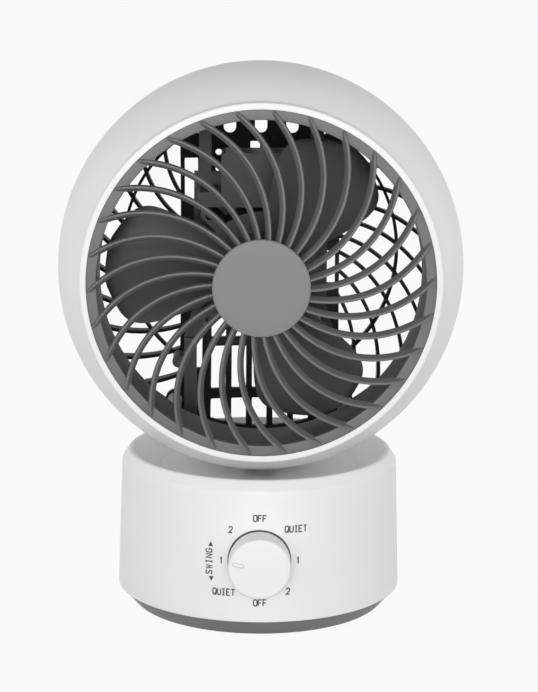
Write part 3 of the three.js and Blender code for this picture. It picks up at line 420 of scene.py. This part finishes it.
def swell(y):
    """Share of the ball's extra height: none at the lip and the rear edge, all of it between."""
    rise = min(1.0, max(0.0, (y + LIP_REACH - SWELL_START) / SWELL_RISE))
    fall = min(1.0, max(0.0, (REAR_EDGE - y) / SWELL_FALL))
    t = min(rise, fall)
    return t * t * (3 - 2 * t)


def from_shell(x, y, z):
    """The ball stands a little taller than it is wide."""
    return from_head(x, y, z * (1 + (SWELL_ABOVE if z > 0 else SWELL_BELOW) * swell(y)))


LIP_OUTER = 89.0
LIP_INNER = 85.7
SEAM_STEP = 0.45         # depth of the fine groove between the two shells
lip_root = -math.sqrt(BALL ** 2 - LIP_OUTER ** 2)
lip_end = lip_root + 4
front_profile = arc(BALL, lip_root, SEAM - 0.35, 30)[::-1]
lip = softened([
    front_profile[-2], (LIP_OUTER, lip_root - 0.1, 1.2), (LIP_OUTER, -LIP_REACH, 1.1),
    (LIP_INNER, -LIP_REACH - 0.1, 0.5), (LIP_INNER, -LIP_REACH + 0.45, 0.1),
    (OPENING, -LIP_REACH + 0.45), (OPENING, lip_end),
], closed=False, steps=6)
front_profile = [(BALL - SEAM_STEP, SEAM)] + front_profile[:-1] + lip[1:]
front_profile += arc(BALL_INSIDE, lip_end, SEAM, 24)
front = made("front_shell_skin", revolved(front_profile, ROUND, "Y"), from_shell)
cut(front, neck_slot(), from_head)
finished(front, WHITE, "head", ["front_shell"])

rear_profile = [(BALL - SEAM_STEP, SEAM + SEAT)] + arc(BALL, SEAM + 0.65, REAR_EDGE - 0.5, 20)
rear_profile += [(math.sqrt(BALL ** 2 - REAR_EDGE ** 2) - 0.5, REAR_EDGE)]
rear_profile += arc(BALL_INSIDE, SEAM + SEAT, REAR_EDGE, 20)[::-1]
rear = made("rear_shell_skin", revolved(rear_profile, ROUND, "Y"), from_shell)
cut(rear, neck_slot(), from_head)
finished(rear, WHITE, "head", ["rear_shell"])

for part_name, y0, y1 in (("front_shell_bosses", -22, SEAM),
                          ("rear_shell_bosses", SEAM + SEAT, REAR_EDGE - 2)):
    bosses = made(part_name, joined(*shell_bosses(y0, y1)), from_head)
    finished(bosses, WHITE, "head")

# ---- Front guard -----------------------------------------------------------------------------
GUARD_RADIUS = OPENING - SEAT
RING_FRONT = -LIP_REACH + 0.6
RING_BAND, RING_DEPTH = 5.2, 3.4
CAP_THICK = 2.2
CAP_SPIGOT = CAP_RADIUS - 5.4
COLLAR = (CAP_RADIUS - 5, CAP_RADIUS - 1)
RIB_COUNT, RIB_START = 30, -3.2
RIB_PROUD = 0.9          # of the lip, at the rim
RIB_SWEEP, RIB_GROWTH = 0.31, 0.0029     # degrees for each mm outwards, and its growth
# Half widths at depths behind the crest.
RIB_SECTION = [(1.6, 3.6), (1.5, 3.0), (0.72, 0.5), (0.55, 0.12), (0.35, 0.0)]
RIB_LEAN = 0.2           # sideways for each mm of depth


def guard_ridge(r):
    """Depth of a rib's crest at a radius."""
    t = (r - CAP_RADIUS) / (GUARD_RADIUS - CAP_RADIUS)
    return -CAP_REACH + CAP_THICK + t * t * (CAP_REACH - CAP_THICK - LIP_REACH - RIB_PROUD)


def guard_rib(start):
    inner, outer, steps = CAP_RADIUS - 3, GUARD_RADIUS - 0.4, 40
    back = RING_FRONT + 3.3
    sections = []
    for i in range(steps + 1):
        r = inner + (outer - inner) * i / steps
        out = r - CAP_RADIUS
        turn = math.radians(start + RIB_SWEEP * out + RIB_GROWTH * out * out)
        slope = math.radians(RIB_SWEEP + 2 * RIB_GROWTH * out) * r
        centre, across = rib_place(r, turn, slope)
        front_y = max(guard_ridge(r), -CAP_REACH + 2.4)
        fade = max(0.0, 1 - (outer - r) / 1.6) ** 2
        section = []
        for side in (-1, 1):
            rows = RIB_SECTION if side < 0 else RIB_SECTION[::-1]
            for half, depth in rows:
                y = min(front_y + depth + fade * 1.3, back)
                p = centre + across * (side * half + RIB_LEAN * depth)
                section.append((p.x, y, p.y))
        sections.append(section)
    return loft(sections)


guard_ring = revolved(softened([
    (GUARD_RADIUS - RING_BAND, RING_FRONT, 0.5), (GUARD_RADIUS, RING_FRONT, 0.4),
    (GUARD_RADIUS, RING_FRONT + RING_DEPTH, 0.3),
    (GUARD_RADIUS - RING_BAND, RING_FRONT + RING_DEPTH, 0.4),
]), ROUND, "Y")
guard_hub = revolved(softened([
    (COLLAR[0], -CAP_REACH + 2.6, 0.3), (COLLAR[1], -CAP_REACH + 2.6, 0.3),
    (COLLAR[1], RING_FRONT - 1.5, 0.5), (COLLAR[0], RING_FRONT - 1.5, 0.5),
]), 96, "Y")
guard_ribs = [guard_rib(RIB_START + i * 360 / RIB_COUNT) for i in range(RIB_COUNT)]
guard = made("guard_ribs", joined(guard_ring, guard_hub, *guard_ribs), from_head)
finished(guard, GUARD, "head", ["front_guard"])

cap = made("cap_disc", revolved(softened([
    (0, -CAP_REACH), (CAP_RADIUS * 0.8, -CAP_REACH + 0.12), (CAP_RADIUS, -CAP_REACH + 0.35, 0.9),
    (CAP_RADIUS, -CAP_REACH + CAP_THICK, 0.2), (CAP_SPIGOT, -CAP_REACH + CAP_THICK, 0.2),
    (CAP_SPIGOT, -CAP_REACH + 6.2, 0.4), (0, -CAP_REACH + 6.2),
], closed=False), ROUND, "Y", closed=False), from_head)
finished(cap, CAP, "head", ["guard_cap"])

# ---- Duct ------------------------------------------------------------------------------------
DUCT_OUTER = DUCT + 2
LUG_ANGLES = (20, 160, 200, 340)
LUG_REACH, LUG_DEPTH, LUG_HALF = 99.2, 3, 4
duct_front = RING_FRONT + RING_DEPTH + SEAT
duct_parts = [revolved(softened([
    (DUCT, duct_front, 0.5), (DUCT_OUTER, duct_front, 0.5),
    (DUCT_OUTER, DUCT_END, 0.4), (DUCT, DUCT_END, 0.6),
]), ROUND, "Y")]
for lug_angle in LUG_ANGLES:
    a = math.radians(lug_angle)
    turned = Matrix(((math.cos(a), 0, -math.sin(a)), (0, 1, 0), (math.sin(a), 0, math.cos(a))))
    verts, faces = block(DUCT + 1, LUG_REACH, DUCT_END - LUG_DEPTH, DUCT_END, -LUG_HALF, LUG_HALF)
    duct_parts.append(([tuple(turned @ Vector(v)) for v in verts], faces))
duct = made("duct_wall", joined(*duct_parts), from_head)
finished(duct, DUCT_GREY, "head", ["duct_ring"])

# ---- Rotor -----------------------------------------------------------------------------------
HUB_RADIUS = 20.0
HUB_FRONT, HUB_FLOOR, HUB_REAR = -46, -35, -17
HUB_INSIDE, HUB_BOSS, HUB_BORE = 17.5, 8, 3.2
BLADE_COUNT, BLADE_START = 3, 55
BLADE_Y = -28.0
BLADE_RISE = 20.8        # depth from a blade's front edge to its rear edge
BLADE_CAMBER = 2.5
BLADE_HALF_THICK = 0.95
TIP_ROUND = 3.5          # how far the tip's corners draw in


def blade_half(r):
    """Half of the angle that a blade spans at a radius, in degrees."""
    t = min(1.0, max(0.0, (r - HUB_RADIUS) / (TIP - HUB_RADIUS)))
    return 31 - 3.4 * t - 8 * t ** 5 - 8 * t ** 16


def blade(middle):
    steps, across = 34, 18
    sections = []
    for i in range(steps + 1):
        r = HUB_RADIUS - 2 + (TIP - HUB_RADIUS + 2) * i / steps
        half = blade_half(r)
        rise = BLADE_RISE * (0.75 + 0.25 * min(1.0, r / 50))
        rows = []
        for side in (-1, 1):
            row = []
            for j in range(across + 1):
                s = 2 * j / across - 1
                reach = r - TIP_ROUND * s ** 4 * (i / steps) ** 6
                edge = max(0.12, 1 - abs(s) ** 10) * (1 if i < steps else 0.5)
                camber = BLADE_CAMBER * (1 - s * s)
                y = BLADE_Y - rise * s / 2 + camber + side * BLADE_HALF_THICK * edge
                row.append(polar(reach, middle + half * s, y))
            rows.append(row if side < 0 else row[::-1])
        sections.append(rows[0] + rows[1])
    return loft(sections)


hub = revolved(softened([
    (0, HUB_FRONT), (15.5, HUB_FRONT), (HUB_RADIUS, HUB_FRONT + 0.6, 3.0),
    (HUB_RADIUS, HUB_REAR, 0.5), (HUB_INSIDE, HUB_REAR, 0.5), (HUB_INSIDE, HUB_FLOOR, 0.5),
    (HUB_BOSS, HUB_FLOOR, 0.5), (HUB_BOSS, HUB_REAR, 0.5), (HUB_BORE, HUB_REAR),
    (HUB_BORE, HUB_FLOOR), (0, HUB_FLOOR),
], closed=False), 96, "Y", closed=False)
blades = [blade(BLADE_START + i * 360 / BLADE_COUNT) for i in range(BLADE_COUNT)]
rotor = made("rotor_blades", joined(hub, *blades), from_head)
finished(rotor, BLADE, "rotor", ["fan_rotor"], sharp=50)

# ---- Rear grille -----------------------------------------------------------------------------
GRILLE_DROP, GRILLE_BULGE = 35.3, 3.5
GRILLE_COUNT, GRILLE_START = 30, 9.2
GRILLE_SWEEP, GRILLE_GROWTH = 0.4655, 0.0023
MIDDLE_HALF = 0.8        # half the width of the middle ring


def grille_y(r):
    """Depth of the grille's inner face at a radius."""
    return REAR_EDGE + SEAT + GRILLE_DROP * (1 - (r / GRILLE_EDGE) ** GRILLE_BULGE)


def grille_rib(start):
    inner, outer, steps = BAND_HALF - 3.9, RING_INNER + 0.8, 18
    sections = []
    for i in range(steps + 1):
        r = inner + (outer - inner) * i / steps
        out = r - inner
        turn = math.radians(start - GRILLE_SWEEP * out - GRILLE_GROWTH * out * out)
        slope = -math.radians(GRILLE_SWEEP + 2 * GRILLE_GROWTH * out) * r
        centre, across = rib_place(r, turn, slope)
        near = grille_y(r)
        far = near + 3.2 + 6 * (r / GRILLE_EDGE) ** 2
        section = []
        for half, y in ((-1, far), (-0.9, near + 0.3), (-0.6, near),
                        (0.6, near), (0.9, near + 0.3), (1, far)):
            p = centre + across * half
            section.append((p.x, y, p.y))
        sections.append(section)
    return loft(sections)


grille_ring = revolved(softened([
    (RING_INNER, grille_y(RING_INNER), 0.4), (GRILLE_EDGE, REAR_EDGE + SEAT, 0.2),
    (GRILLE_RIM, REAR_EDGE + SEAT, 0.3), (GRILLE_RIM - 0.6, REAR_EDGE + 2.4, 0.5),
    (GRILLE_EDGE, REAR_EDGE + 3.6, 0.6), (RING_INNER, grille_y(RING_INNER) + 3.4, 0.4),
]), ROUND, "Y")
ears = []
for screw_angle in SCREW_ANGLES:
    ear_x, _, ear_z = polar(SCREW_CIRCLE, screw_angle, 0)
    ears.append(prism(circle(ear_x, ear_z, 5), REAR_EDGE + SEAT, REAR_EDGE + 3.5))
outer_ring = made("grille_rim", joined(grille_ring, *ears), from_head)
finished(outer_ring, BLACK, "head", ["rear_grille"])

low, high = MIDDLE_RING - MIDDLE_HALF, MIDDLE_RING + MIDDLE_HALF
middle_profile = [(low, grille_y(low)), (high, grille_y(high)),
                  (high, grille_y(high) + 4), (low, grille_y(low) + 4)]
grille_ribs = [grille_rib(GRILLE_START + i * 360 / GRILLE_COUNT) for i in range(GRILLE_COUNT)]
middle_ring = revolved(middle_profile, ROUND, "Y")
side_ribs = made("grille_ribs", joined(middle_ring, *grille_ribs), from_head)
cut(side_ribs, block(-BAND_HALF + 1, BAND_HALF - 1, 0, BALL, -BALL, BALL), from_head)
finished(side_ribs, BLACK, "head")


def band_windows():
    """The windows, slots and holes of the middle band, as solids to cut away."""
    def window(x0, x1, z0, z1, corner=0.6):
        return prism(rounded_box(min(x0, x1), max(x0, x1), z0, z1, corner), 0, BALL)

    parts = [window(-5.7, -0.5, 52.5, 57.7), prism(circle(-22.8, 51.5, 1.8), 0, BALL),
             prism(circle(-22.8, 42.1, 1.8), 0, BALL)]
    for step in range(-2, 3):
        x = step * 11.2
        parts += [window(x - 3.95, x + 3.95, -50.6, -30), window(x - 3.95, x + 3.95, -76.5, -55.2),
                  window(x - 3.95, x + 3.95, -RING_INNER, -81.1)]
        x = step * 16.8
        parts.append(window(x - 3.3, x + 3.3, 62.3, RING_INNER, 3.2))
    for side in (-1, 1):
        outer = side * (BAND_HALF - 2.2)
        parts += [window(side * 34, outer, 24.5, 48.5), window(side * 34, outer, -20.5, -2.5)]
        parts.append(window(side * 31.4, outer, -66.1, -49.7))
    return joined(*parts)


radii = [(RING_INNER + 1) * i / 28 for i in range(29)]
dome = [(r, grille_y(r)) for r in radii] + [(r, grille_y(r) + 3.2) for r in radii[::-1]]
band = made("grille_band", revolved(dome, 96, "Y", closed=False), from_head)
for side in (-1, 1):
    low, high = sorted((side * BAND_HALF, side * BALL))
    cut(band, block(low, high, 0, BALL, -BALL, BALL), from_head)
cut(band, band_windows(), from_head)
finished(band, BLACK, "head")

# ---- Turntable and neck ----------------------------------------------------------------------
disc_radius = DISH_LOW[0] - 0.08
table_top = DISH_LOW[1] - 1.2
table_under = table_top - 2.5
SHAFT_RADIUS, SHAFT_FOOT = 15.7, 51.1
SKIRT_INSIDE, SKIRT_FOOT = 46, 66
table_disc = revolved(softened([
    (0, SHAFT_FOOT), (SHAFT_RADIUS, SHAFT_FOOT, 0.4), (SHAFT_RADIUS, table_under, 0.5),
    (SKIRT_INSIDE, table_under, 0.4), (SKIRT_INSIDE, SKIRT_FOOT, 0.5),
    (disc_radius, SKIRT_FOOT, 0.4), (disc_radius, DISH_LOW[1], 0.06), (46.4, table_top, 3.0),
    (0, table_top),
], closed=False), ROUND, "Z", closed=False)
turn = made("turntable_disc", table_disc, from_base)
finished(turn, WHITE, "turntable", ["turntable"])

saddle_outline = rounded_box(-12, 12, -9, 9, 4)
saddle = made("neck_saddle", column(saddle_outline, 71.2, 84.2), from_base)
saddle_reach = BALL + 0.8
ball_profile = [(max(0.0, r), h) for r, h in arc(saddle_reach, -saddle_reach, saddle_reach, 60)]
cut(saddle, revolved(ball_profile, 120, "Y", closed=False), from_head)
finished(saddle, WHITE, "turntable")
stem = made("neck_stem", block(-7.8, 7.8, -4.5, 4.5, 71.2, HEAD_Z - 99.2), from_base)
bevelled(stem, 0.8)
finished(stem, WHITE, "turntable")

# ---- Base ------------------------------------------------------------------------------------
wall = 2.4
inner = RIM[0] - wall
base_profile = softened([
    (SHELL_LOW[0], SHELL_LOW[1], 0.7), (CHAMFER[0], CHAMFER[1], 0.9),
    (RIM[0] + 0.3, RIM[1] - 0.4, 1.0), (RIM[0] - 0.7, RIM[1], 0.5), (inner, RIM[1] - 0.3, 0.1),
    (inner, RIM[1] - 3.1), (inner - 2.2, RIM[1] - 3.1), (inner - 2.2, RIM[1] - 4.9),
    (CHAMFER[0] - wall, CHAMFER[1] - 2), (SHELL_LOW[0] - wall, SHELL_LOW[1]),
], steps=8)
base = made("base_drum", revolved(base_profile, ROUND, "Z"), from_base)
cut(base, prism(circle(0, KNOB_Z, 4.8, 32), -80, -66), from_base)
cut(base, prism(circle(0, 20, 4.6, 32), 60, 80), from_base)
finished(base, WHITE, "base", ["base_shell"])

dish_edge = inner - 0.06
dish_profile = softened([
    (dish_edge, RIM[1] - 0.34, 0.1), (dish_edge - 5, RIM[1] - 4.2, 4.0),
    (DISH_LOW[0] + 3, DISH_LOW[1] + 1.2, 4.0), (DISH_LOW[0], DISH_LOW[1], 0.06),
    (DISH_LOW[0], 55.5), (16.1, 55.5), (16.1, 52.5), (DISH_LOW[0] + wall, 52.5),
    (DISH_LOW[0] + wall, DISH_LOW[1] - 1), (dish_edge - 4.6, RIM[1] - 6.4),
    (dish_edge - 2.2, RIM[1] - 2.7), (dish_edge, RIM[1] - 2.7),
], steps=8)
POST_CIRCLE = 50         # of the base's screws too
FOOT_CIRCLE = 52
posts = []
for post_angle in (45, 135, 225, 315):
    px, _, py = polar(POST_CIRCLE, post_angle, 0)
    posts.append(column(circle(px, py, 4.5, 20), 4.9, 53))
dish = made("dish_cover", joined(revolved(dish_profile, ROUND, "Z"), *posts), from_base)
finished(dish, WHITE, "base", ["top_cover"])

plate_profile = softened([
    (0, 1.5), (65.1, 1.5, 1.2), (71.2, 8.5, 1.0), (72.2, 10.1, 0.2), (69, 10.1), (68, 8.1),
    (62, 4.5), (0, 4.5),
], closed=False, steps=6)
plate = made("bottom_plate", revolved(plate_profile, ROUND, "Z", closed=False), from_base)
# A foot's recess, a screw head's recess and a screw's hole, in each quarter.
RECESSES = ((FOOT_CIRCLE, 22, 6.4, 3.3), (POST_CIRCLE, 0, 3.6, 3.4), (POST_CIRCLE, 0, 1.85, 6))
for k in range(4):
    for circle_radius, turn_by, hole, top in RECESSES:
        hole_x, _, hole_y = polar(circle_radius, 45 + 90 * k + turn_by, 0)
        cut(plate, column(circle(hole_x, hole_y, hole, 28), -1, top), from_base)
finished(plate, PLATE, "base", ["base_plate"])

# ---- Knob ------------------------------------------------------------------------------------
KNOB_SLEEVE, KNOB_BORE = 9, 3.2
POINTER_TURN = math.radians(POINTER_ANGLE)


def knob_place(x, y, z):
    """A point measured from the knob's axis in the row frame, in metres."""
    return from_base(x, y, z + KNOB_Z)


def turned_outline(outline, angle):
    c, s = math.cos(angle), math.sin(angle)
    return [(x * c - z * s, x * s + z * c) for x, z in outline]


knob_profile = softened([
    (0, -KNOB_FACE), (KNOB_RADIUS, -KNOB_FACE, 1.7), (KNOB_RADIUS, -KNOB_BACK, 0.4),
    (KNOB_SLEEVE, -KNOB_BACK, 0.3), (KNOB_SLEEVE, -76.6), (KNOB_BORE, -76.6), (KNOB_BORE, -80.8),
    (0, -80.8),
], closed=False, steps=6)
knob = made("knob_cap", revolved(knob_profile, ROUND, "Y", closed=False), knob_place)
mark_outline = rounded_box(7.6, 13.8, -1.05, 1.05, 1.04)
mark_recess = prism(turned_outline(mark_outline, POINTER_TURN), -KNOB_FACE - 1, -KNOB_FACE + 0.55)
cut(knob, mark_recess, knob_place)
finished(knob, KNOB_WHITE, "knob", ["knob"])
# A thin grey band along the wall of the pointer's recess: painted shade on its edges, while the
# recess floor stays knob white.
edge_shade_rings = []
for mark_y in (-KNOB_FACE + 0.02, -KNOB_FACE + 0.5):
    for inset in (0.0, 0.28):
        ring = rounded_box(7.62 + inset, 13.78 - inset, -1.03 + inset, 1.03 - inset, 1.02 - inset)
        edge_shade_rings.append([(x, mark_y, z) for x, z in turned_outline(ring, POINTER_TURN)])
edge_shade_rings = [edge_shade_rings[0], edge_shade_rings[1], edge_shade_rings[3], edge_shade_rings[2]]
count = len(edge_shade_rings[0])
edge_shade_faces = [(r * count + i, r * count + (i + 1) % count, (r + 1) % 4 * count + (i + 1) % count,
               (r + 1) % 4 * count + i) for r in range(4) for i in range(count)]
pointer_edge_band = made("knob_mark_edge_shade", ([p for ring in edge_shade_rings for p in ring], edge_shade_faces), knob_place)
finished(pointer_edge_band, POINTER_EDGE_SHADE, "knob", ["knob_pointer"])


# ---- Legends ---------------------------------------------------------------------------------
def on_drum(along, z, proud):
    """A point on the drum's front: along is measured round the wall, rightwards."""
    (low_radius, low_z), (high_radius, high_z) = SHELL_LOW, CHAMFER
    radius = low_radius + (z - low_z) * (high_radius - low_radius) / (high_z - low_z)
    a = along / radius
    return from_base((radius + proud) * math.sin(a), -(radius + proud) * math.cos(a), z)


LETTER = (1.7, 3.15)     # width and height between the middles of the strokes
STROKE = 0.62            # width of a letter's line
GAP_SHADOW_WIDTH = 0.9           # width of the painted shadow line round the knob, where the gap to the base falls in shade
ROUND_O = [(0, 0.75), (0.12, 0.93), (0.36, 1), (0.64, 1), (0.88, 0.93), (1, 0.75),
           (1, 0.25), (0.88, 0.07), (0.64, 0), (0.36, 0), (0.12, 0.07), (0, 0.25), (0, 0.75)]
GLYPHS = {
    "O": [ROUND_O],
    "F": [[(0, 0), (0, 1), (1, 1)], [(0, 0.52), (0.8, 0.52)]],
    "Q": [ROUND_O, [(0.55, 0.3), (1.05, -0.06)]],
    "U": [[(0, 1), (0, 0.25), (0.12, 0.07), (0.36, 0), (0.64, 0), (0.88, 0.07), (1, 0.25),
           (1, 1)]],
    "I": [[(0.5, 0), (0.5, 1)], [(0.15, 1), (0.85, 1)], [(0.15, 0), (0.85, 0)]],
    "E": [[(1, 1), (0, 1), (0, 0), (1, 0)], [(0, 0.52), (0.8, 0.52)]],
    "T": [[(0, 1), (1, 1)], [(0.5, 1), (0.5, 0)]],
    "S": [[(1, 0.8), (0.85, 0.95), (0.5, 1), (0.15, 0.95), (0, 0.77), (0.15, 0.58), (0.5, 0.51),
           (0.85, 0.43), (1, 0.24), (0.85, 0.05), (0.5, 0), (0.15, 0.05), (0, 0.2)]],
    "W": [[(0, 1), (0.22, 0), (0.5, 0.75), (0.78, 0), (1, 1)]],
    "N": [[(0, 0), (0, 1), (1, 0), (1, 1)]],
    "G": [[(1, 0.8), (0.85, 0.95), (0.5, 1), (0.15, 0.95), (0, 0.75), (0, 0.25), (0.15, 0.05),
           (0.5, 0), (0.85, 0.05), (1, 0.25), (1, 0.47), (0.6, 0.47)]],
    "1": [[(0.15, 0.82), (0.55, 1), (0.55, 0)]],
    "2": [[(0, 0.77), (0.15, 0.95), (0.5, 1), (0.85, 0.95), (1, 0.76), (0.9, 0.56), (0, 0),
           (1, 0)]],
}


def stroke(points, along, z, top, width=STROKE):
    """A flat line of even width through (u, v) points, wrapped round the drum."""
    closed = points[0] == points[-1]
    points = [Vector(p) for p in (points[:-1] if closed else points)]
    count = len(points)
    sections = []
    for i, point in enumerate(points):
        before = point - points[i - 1] if closed or i else None
        after = points[(i + 1) % count] - point if closed or i < count - 1 else None
        ways = [way.normalized() for way in (before, after) if way is not None]
        mean = sum(ways, Vector((0, 0))).normalized()
        side = Vector((-mean.y, mean.x)) * width / 2 / max(0.35, mean.dot(ways[0]))
        section = []
        for sign, proud in ((1, 0.02), (1, top), (-1, top), (-1, 0.02)):
            p = point + side * sign
            section.append(tuple(on_drum(along + p.x, z + p.y, proud)))
        sections.append(section)
    if closed:
        sections.append(sections[0])
    return loft(sections, caps=not closed)


def legend(text, along, z, pitch=2.35, upright=False):
    """Letters of single strokes. Upright text reads from bottom to top."""
    solids = []
    for i, letter in enumerate(text):
        shift = (i - (len(text) - 1) / 2) * pitch
        for k, line in enumerate(GLYPHS[letter]):
            points = [(shift + (x - 0.5) * LETTER[0], (y - 0.5) * LETTER[1]) for x, y in line]
            if upright:
                points = [(-v, u) for u, v in points]
            solids.append(stroke(points, along, z, 0.07 + 0.012 * k))
    return joined(*solids)


def triangle(along, z, up):
    tip, half = (1.25 if up else -1.25), 1.3
    corners = ((-half, -tip), (half, -tip), (0, tip))
    verts = [on_drum(along + u, z + v, proud) for proud in (0.05, 0.09) for u, v in corners]
    return verts, [(0, 1, 2), (3, 4, 5), (0, 1, 4, 3), (1, 2, 5, 4), (2, 0, 3, 5)]


def same_place(x, y, z):
    """A point that is in the row frame already, in metres."""
    return Vector((x, y, z))


marks = joined(
    legend("OFF", 0.14, 63.7), legend("QUIET", 18.2, 58.0), legend("1", 19.4, 41.8),
    legend("2", 14.4, 26.4), legend("OFF", 0.47, 20.7), legend("QUIET", -17.8, 25.6),
    legend("1", -19.2, 41.6), legend("2", -14.4, 57.65),
    legend("SWING", -25.5, 40.6, pitch=2.75, upright=True),
    triangle(-24.6, 49.6, True), triangle(-24.3, 31.85, False),
)
letters = made("dial_legends", marks, same_place)
finished(letters, PRINT_AND_SHADOW, "base")
# A dark ring drawn on the drum round the knob: painted shadow of the gap between the knob and the
# base.
gap_shadow_circle = circle(0, 0, KNOB_RADIUS + 0.05, 96)
gap_shadow_band = stroke(gap_shadow_circle + gap_shadow_circle[:1], 0, KNOB_Z, 0.06, GAP_SHADOW_WIDTH)
knob_painted_gap_shadow = made("knob_painted_gap_shadow", gap_shadow_band, same_place)
finished(knob_painted_gap_shadow, PRINT_AND_SHADOW, "base")

# ---- Floor, light and camera -----------------------------------------------------------------
FLOOR_HALF = 9.0         # in metres
BACKDROP = grey(0.956)
HORIZON, ZENITH = 1.02, 0.30             # strengths of the room's light


def stage_material(name, colour, camera_share):
    """A matt floor whose lit tone is mixed with plain white for the camera."""
    material = bpy.data.materials.new(name)
    material.use_nodes = True
    nodes, links = material.node_tree.nodes, material.node_tree.links
    nodes.clear()
    out = nodes.new("ShaderNodeOutputMaterial")
    matt = nodes.new("ShaderNodeBsdfDiffuse")
    matt.inputs["Color"].default_value = (*colour, 1)
    plain = nodes.new("ShaderNodeEmission")
    plain.inputs["Color"].default_value = (1, 1, 1, 1)
    path = nodes.new("ShaderNodeLightPath")
    share = nodes.new("ShaderNodeMath")
    share.operation = "MULTIPLY"
    share.inputs[1].default_value = camera_share
    seen = nodes.new("ShaderNodeMath")
    seen.operation = "MAXIMUM"
    links.new(path.outputs["Is Camera Ray"], seen.inputs[0])
    links.new(path.outputs["Is Glossy Ray"], seen.inputs[1])
    links.new(seen.outputs[0], share.inputs[0])
    mix = nodes.new("ShaderNodeMixShader")
    links.new(share.outputs[0], mix.inputs["Fac"])
    links.new(matt.outputs[0], mix.inputs[1])
    links.new(plain.outputs[0], mix.inputs[2])
    links.new(mix.outputs[0], out.inputs["Surface"])
    return material


floor_corners = [(-FLOOR_HALF, -FLOOR_HALF, 0), (FLOOR_HALF, -FLOOR_HALF, 0),
                 (FLOOR_HALF, FLOOR_HALF, 0), (-FLOOR_HALF, FLOOR_HALF, 0)]
floor = made("floor", (floor_corners, [(0, 1, 2, 3)]), same_place)
floor.data.materials.append(stage_material("floor_white", grey(0.42), 0.94))

world = bpy.data.worlds.new("studio")
bpy.context.scene.world = world
world.use_nodes = True
nodes, links = world.node_tree.nodes, world.node_tree.links
nodes.clear()
out = nodes.new("ShaderNodeOutputWorld")
ambient = nodes.new("ShaderNodeBackground")
place = nodes.new("ShaderNodeTexCoord")
split = nodes.new("ShaderNodeSeparateXYZ")
links.new(place.outputs["Generated"], split.inputs[0])
height = nodes.new("ShaderNodeMapRange")
height.inputs["To Min"].default_value = HORIZON
height.inputs["To Max"].default_value = ZENITH
links.new(split.outputs["Z"], height.inputs["Value"])
links.new(height.outputs["Result"], ambient.inputs["Strength"])
backdrop = nodes.new("ShaderNodeBackground")
backdrop.inputs["Color"].default_value = (*BACKDROP, 1)
path = nodes.new("ShaderNodeLightPath")
seen = nodes.new("ShaderNodeMath")
seen.operation = "MAXIMUM"
links.new(path.outputs["Is Camera Ray"], seen.inputs[0])
links.new(path.outputs["Is Transmission Ray"], seen.inputs[1])
mix = nodes.new("ShaderNodeMixShader")
links.new(seen.outputs[0], mix.inputs["Fac"])
links.new(ambient.outputs[0], mix.inputs[1])
links.new(backdrop.outputs[0], mix.inputs[2])
links.new(mix.outputs[0], out.inputs["Surface"])


def softbox(name, at, towards, size, power, mirrored=True):
    """A rectangular lamp; one that isn't mirrored lights without showing in gloss."""
    data = bpy.data.lights.new(name, "AREA")
    data.shape = "RECTANGLE"
    data.size, data.size_y = size
    data.energy = power
    lamp = bpy.data.objects.new(name, data)
    lamp.location = at
    lamp.rotation_euler = (Vector(towards) - Vector(at)).to_track_quat("-Z", "Y").to_euler()
    lamp.visible_glossy = mirrored
    bpy.context.collection.objects.link(lamp)


softbox("key", (-0.08, -2.3, 0.4), (0, 0, 0.13), (1.3, 1.0), 24.5)
for side in (-1, 1):
    softbox("front_fill", (side * 2.0, -1.15, 0.35), (0, 0, 0.13), (1.2, 1.0), 9.0, mirrored=False)
    softbox("rear_fill", (side * 1.5, 1.7, 0.6), (0, 0, 0.15), (1.2, 1.2), 6.5, mirrored=False)

CAMERA_AT = Vector((-7.16, -1062.95, 352.5)) * MM
# Looking down, turned to the right and tipped.
PITCH, YAW, ROLL = math.radians(11.46), 0.011, 0.009
SENSOR = 36              # along the taller side of the picture
FOCAL_PIXELS, PICTURE_HEIGHT = 2100, 692
flat_right = Vector((math.cos(YAW), -math.sin(YAW), 0))
flat_ahead = Vector((math.sin(YAW), math.cos(YAW), 0))
ahead = flat_ahead * math.cos(PITCH) - Vector((0, 0, math.sin(PITCH)))
flat_up = flat_ahead * math.sin(PITCH) + Vector((0, 0, math.cos(PITCH)))
right = flat_right * math.cos(ROLL) + flat_up * math.sin(ROLL)
up = flat_up * math.cos(ROLL) - flat_right * math.sin(ROLL)
camera_data = bpy.data.cameras.new("camera")
camera_data.sensor_width = SENSOR
camera_data.lens = SENSOR * FOCAL_PIXELS / PICTURE_HEIGHT
camera = bpy.data.objects.new("camera", camera_data)
turned_to = Matrix((right, up, -ahead)).transposed()
camera.matrix_world = Matrix.Translation(CAMERA_AT) @ turned_to.to_4x4()
bpy.context.collection.objects.link(camera)
bpy.context.scene.camera = camera
bpy.context.scene.view_settings.view_transform = "Standard"
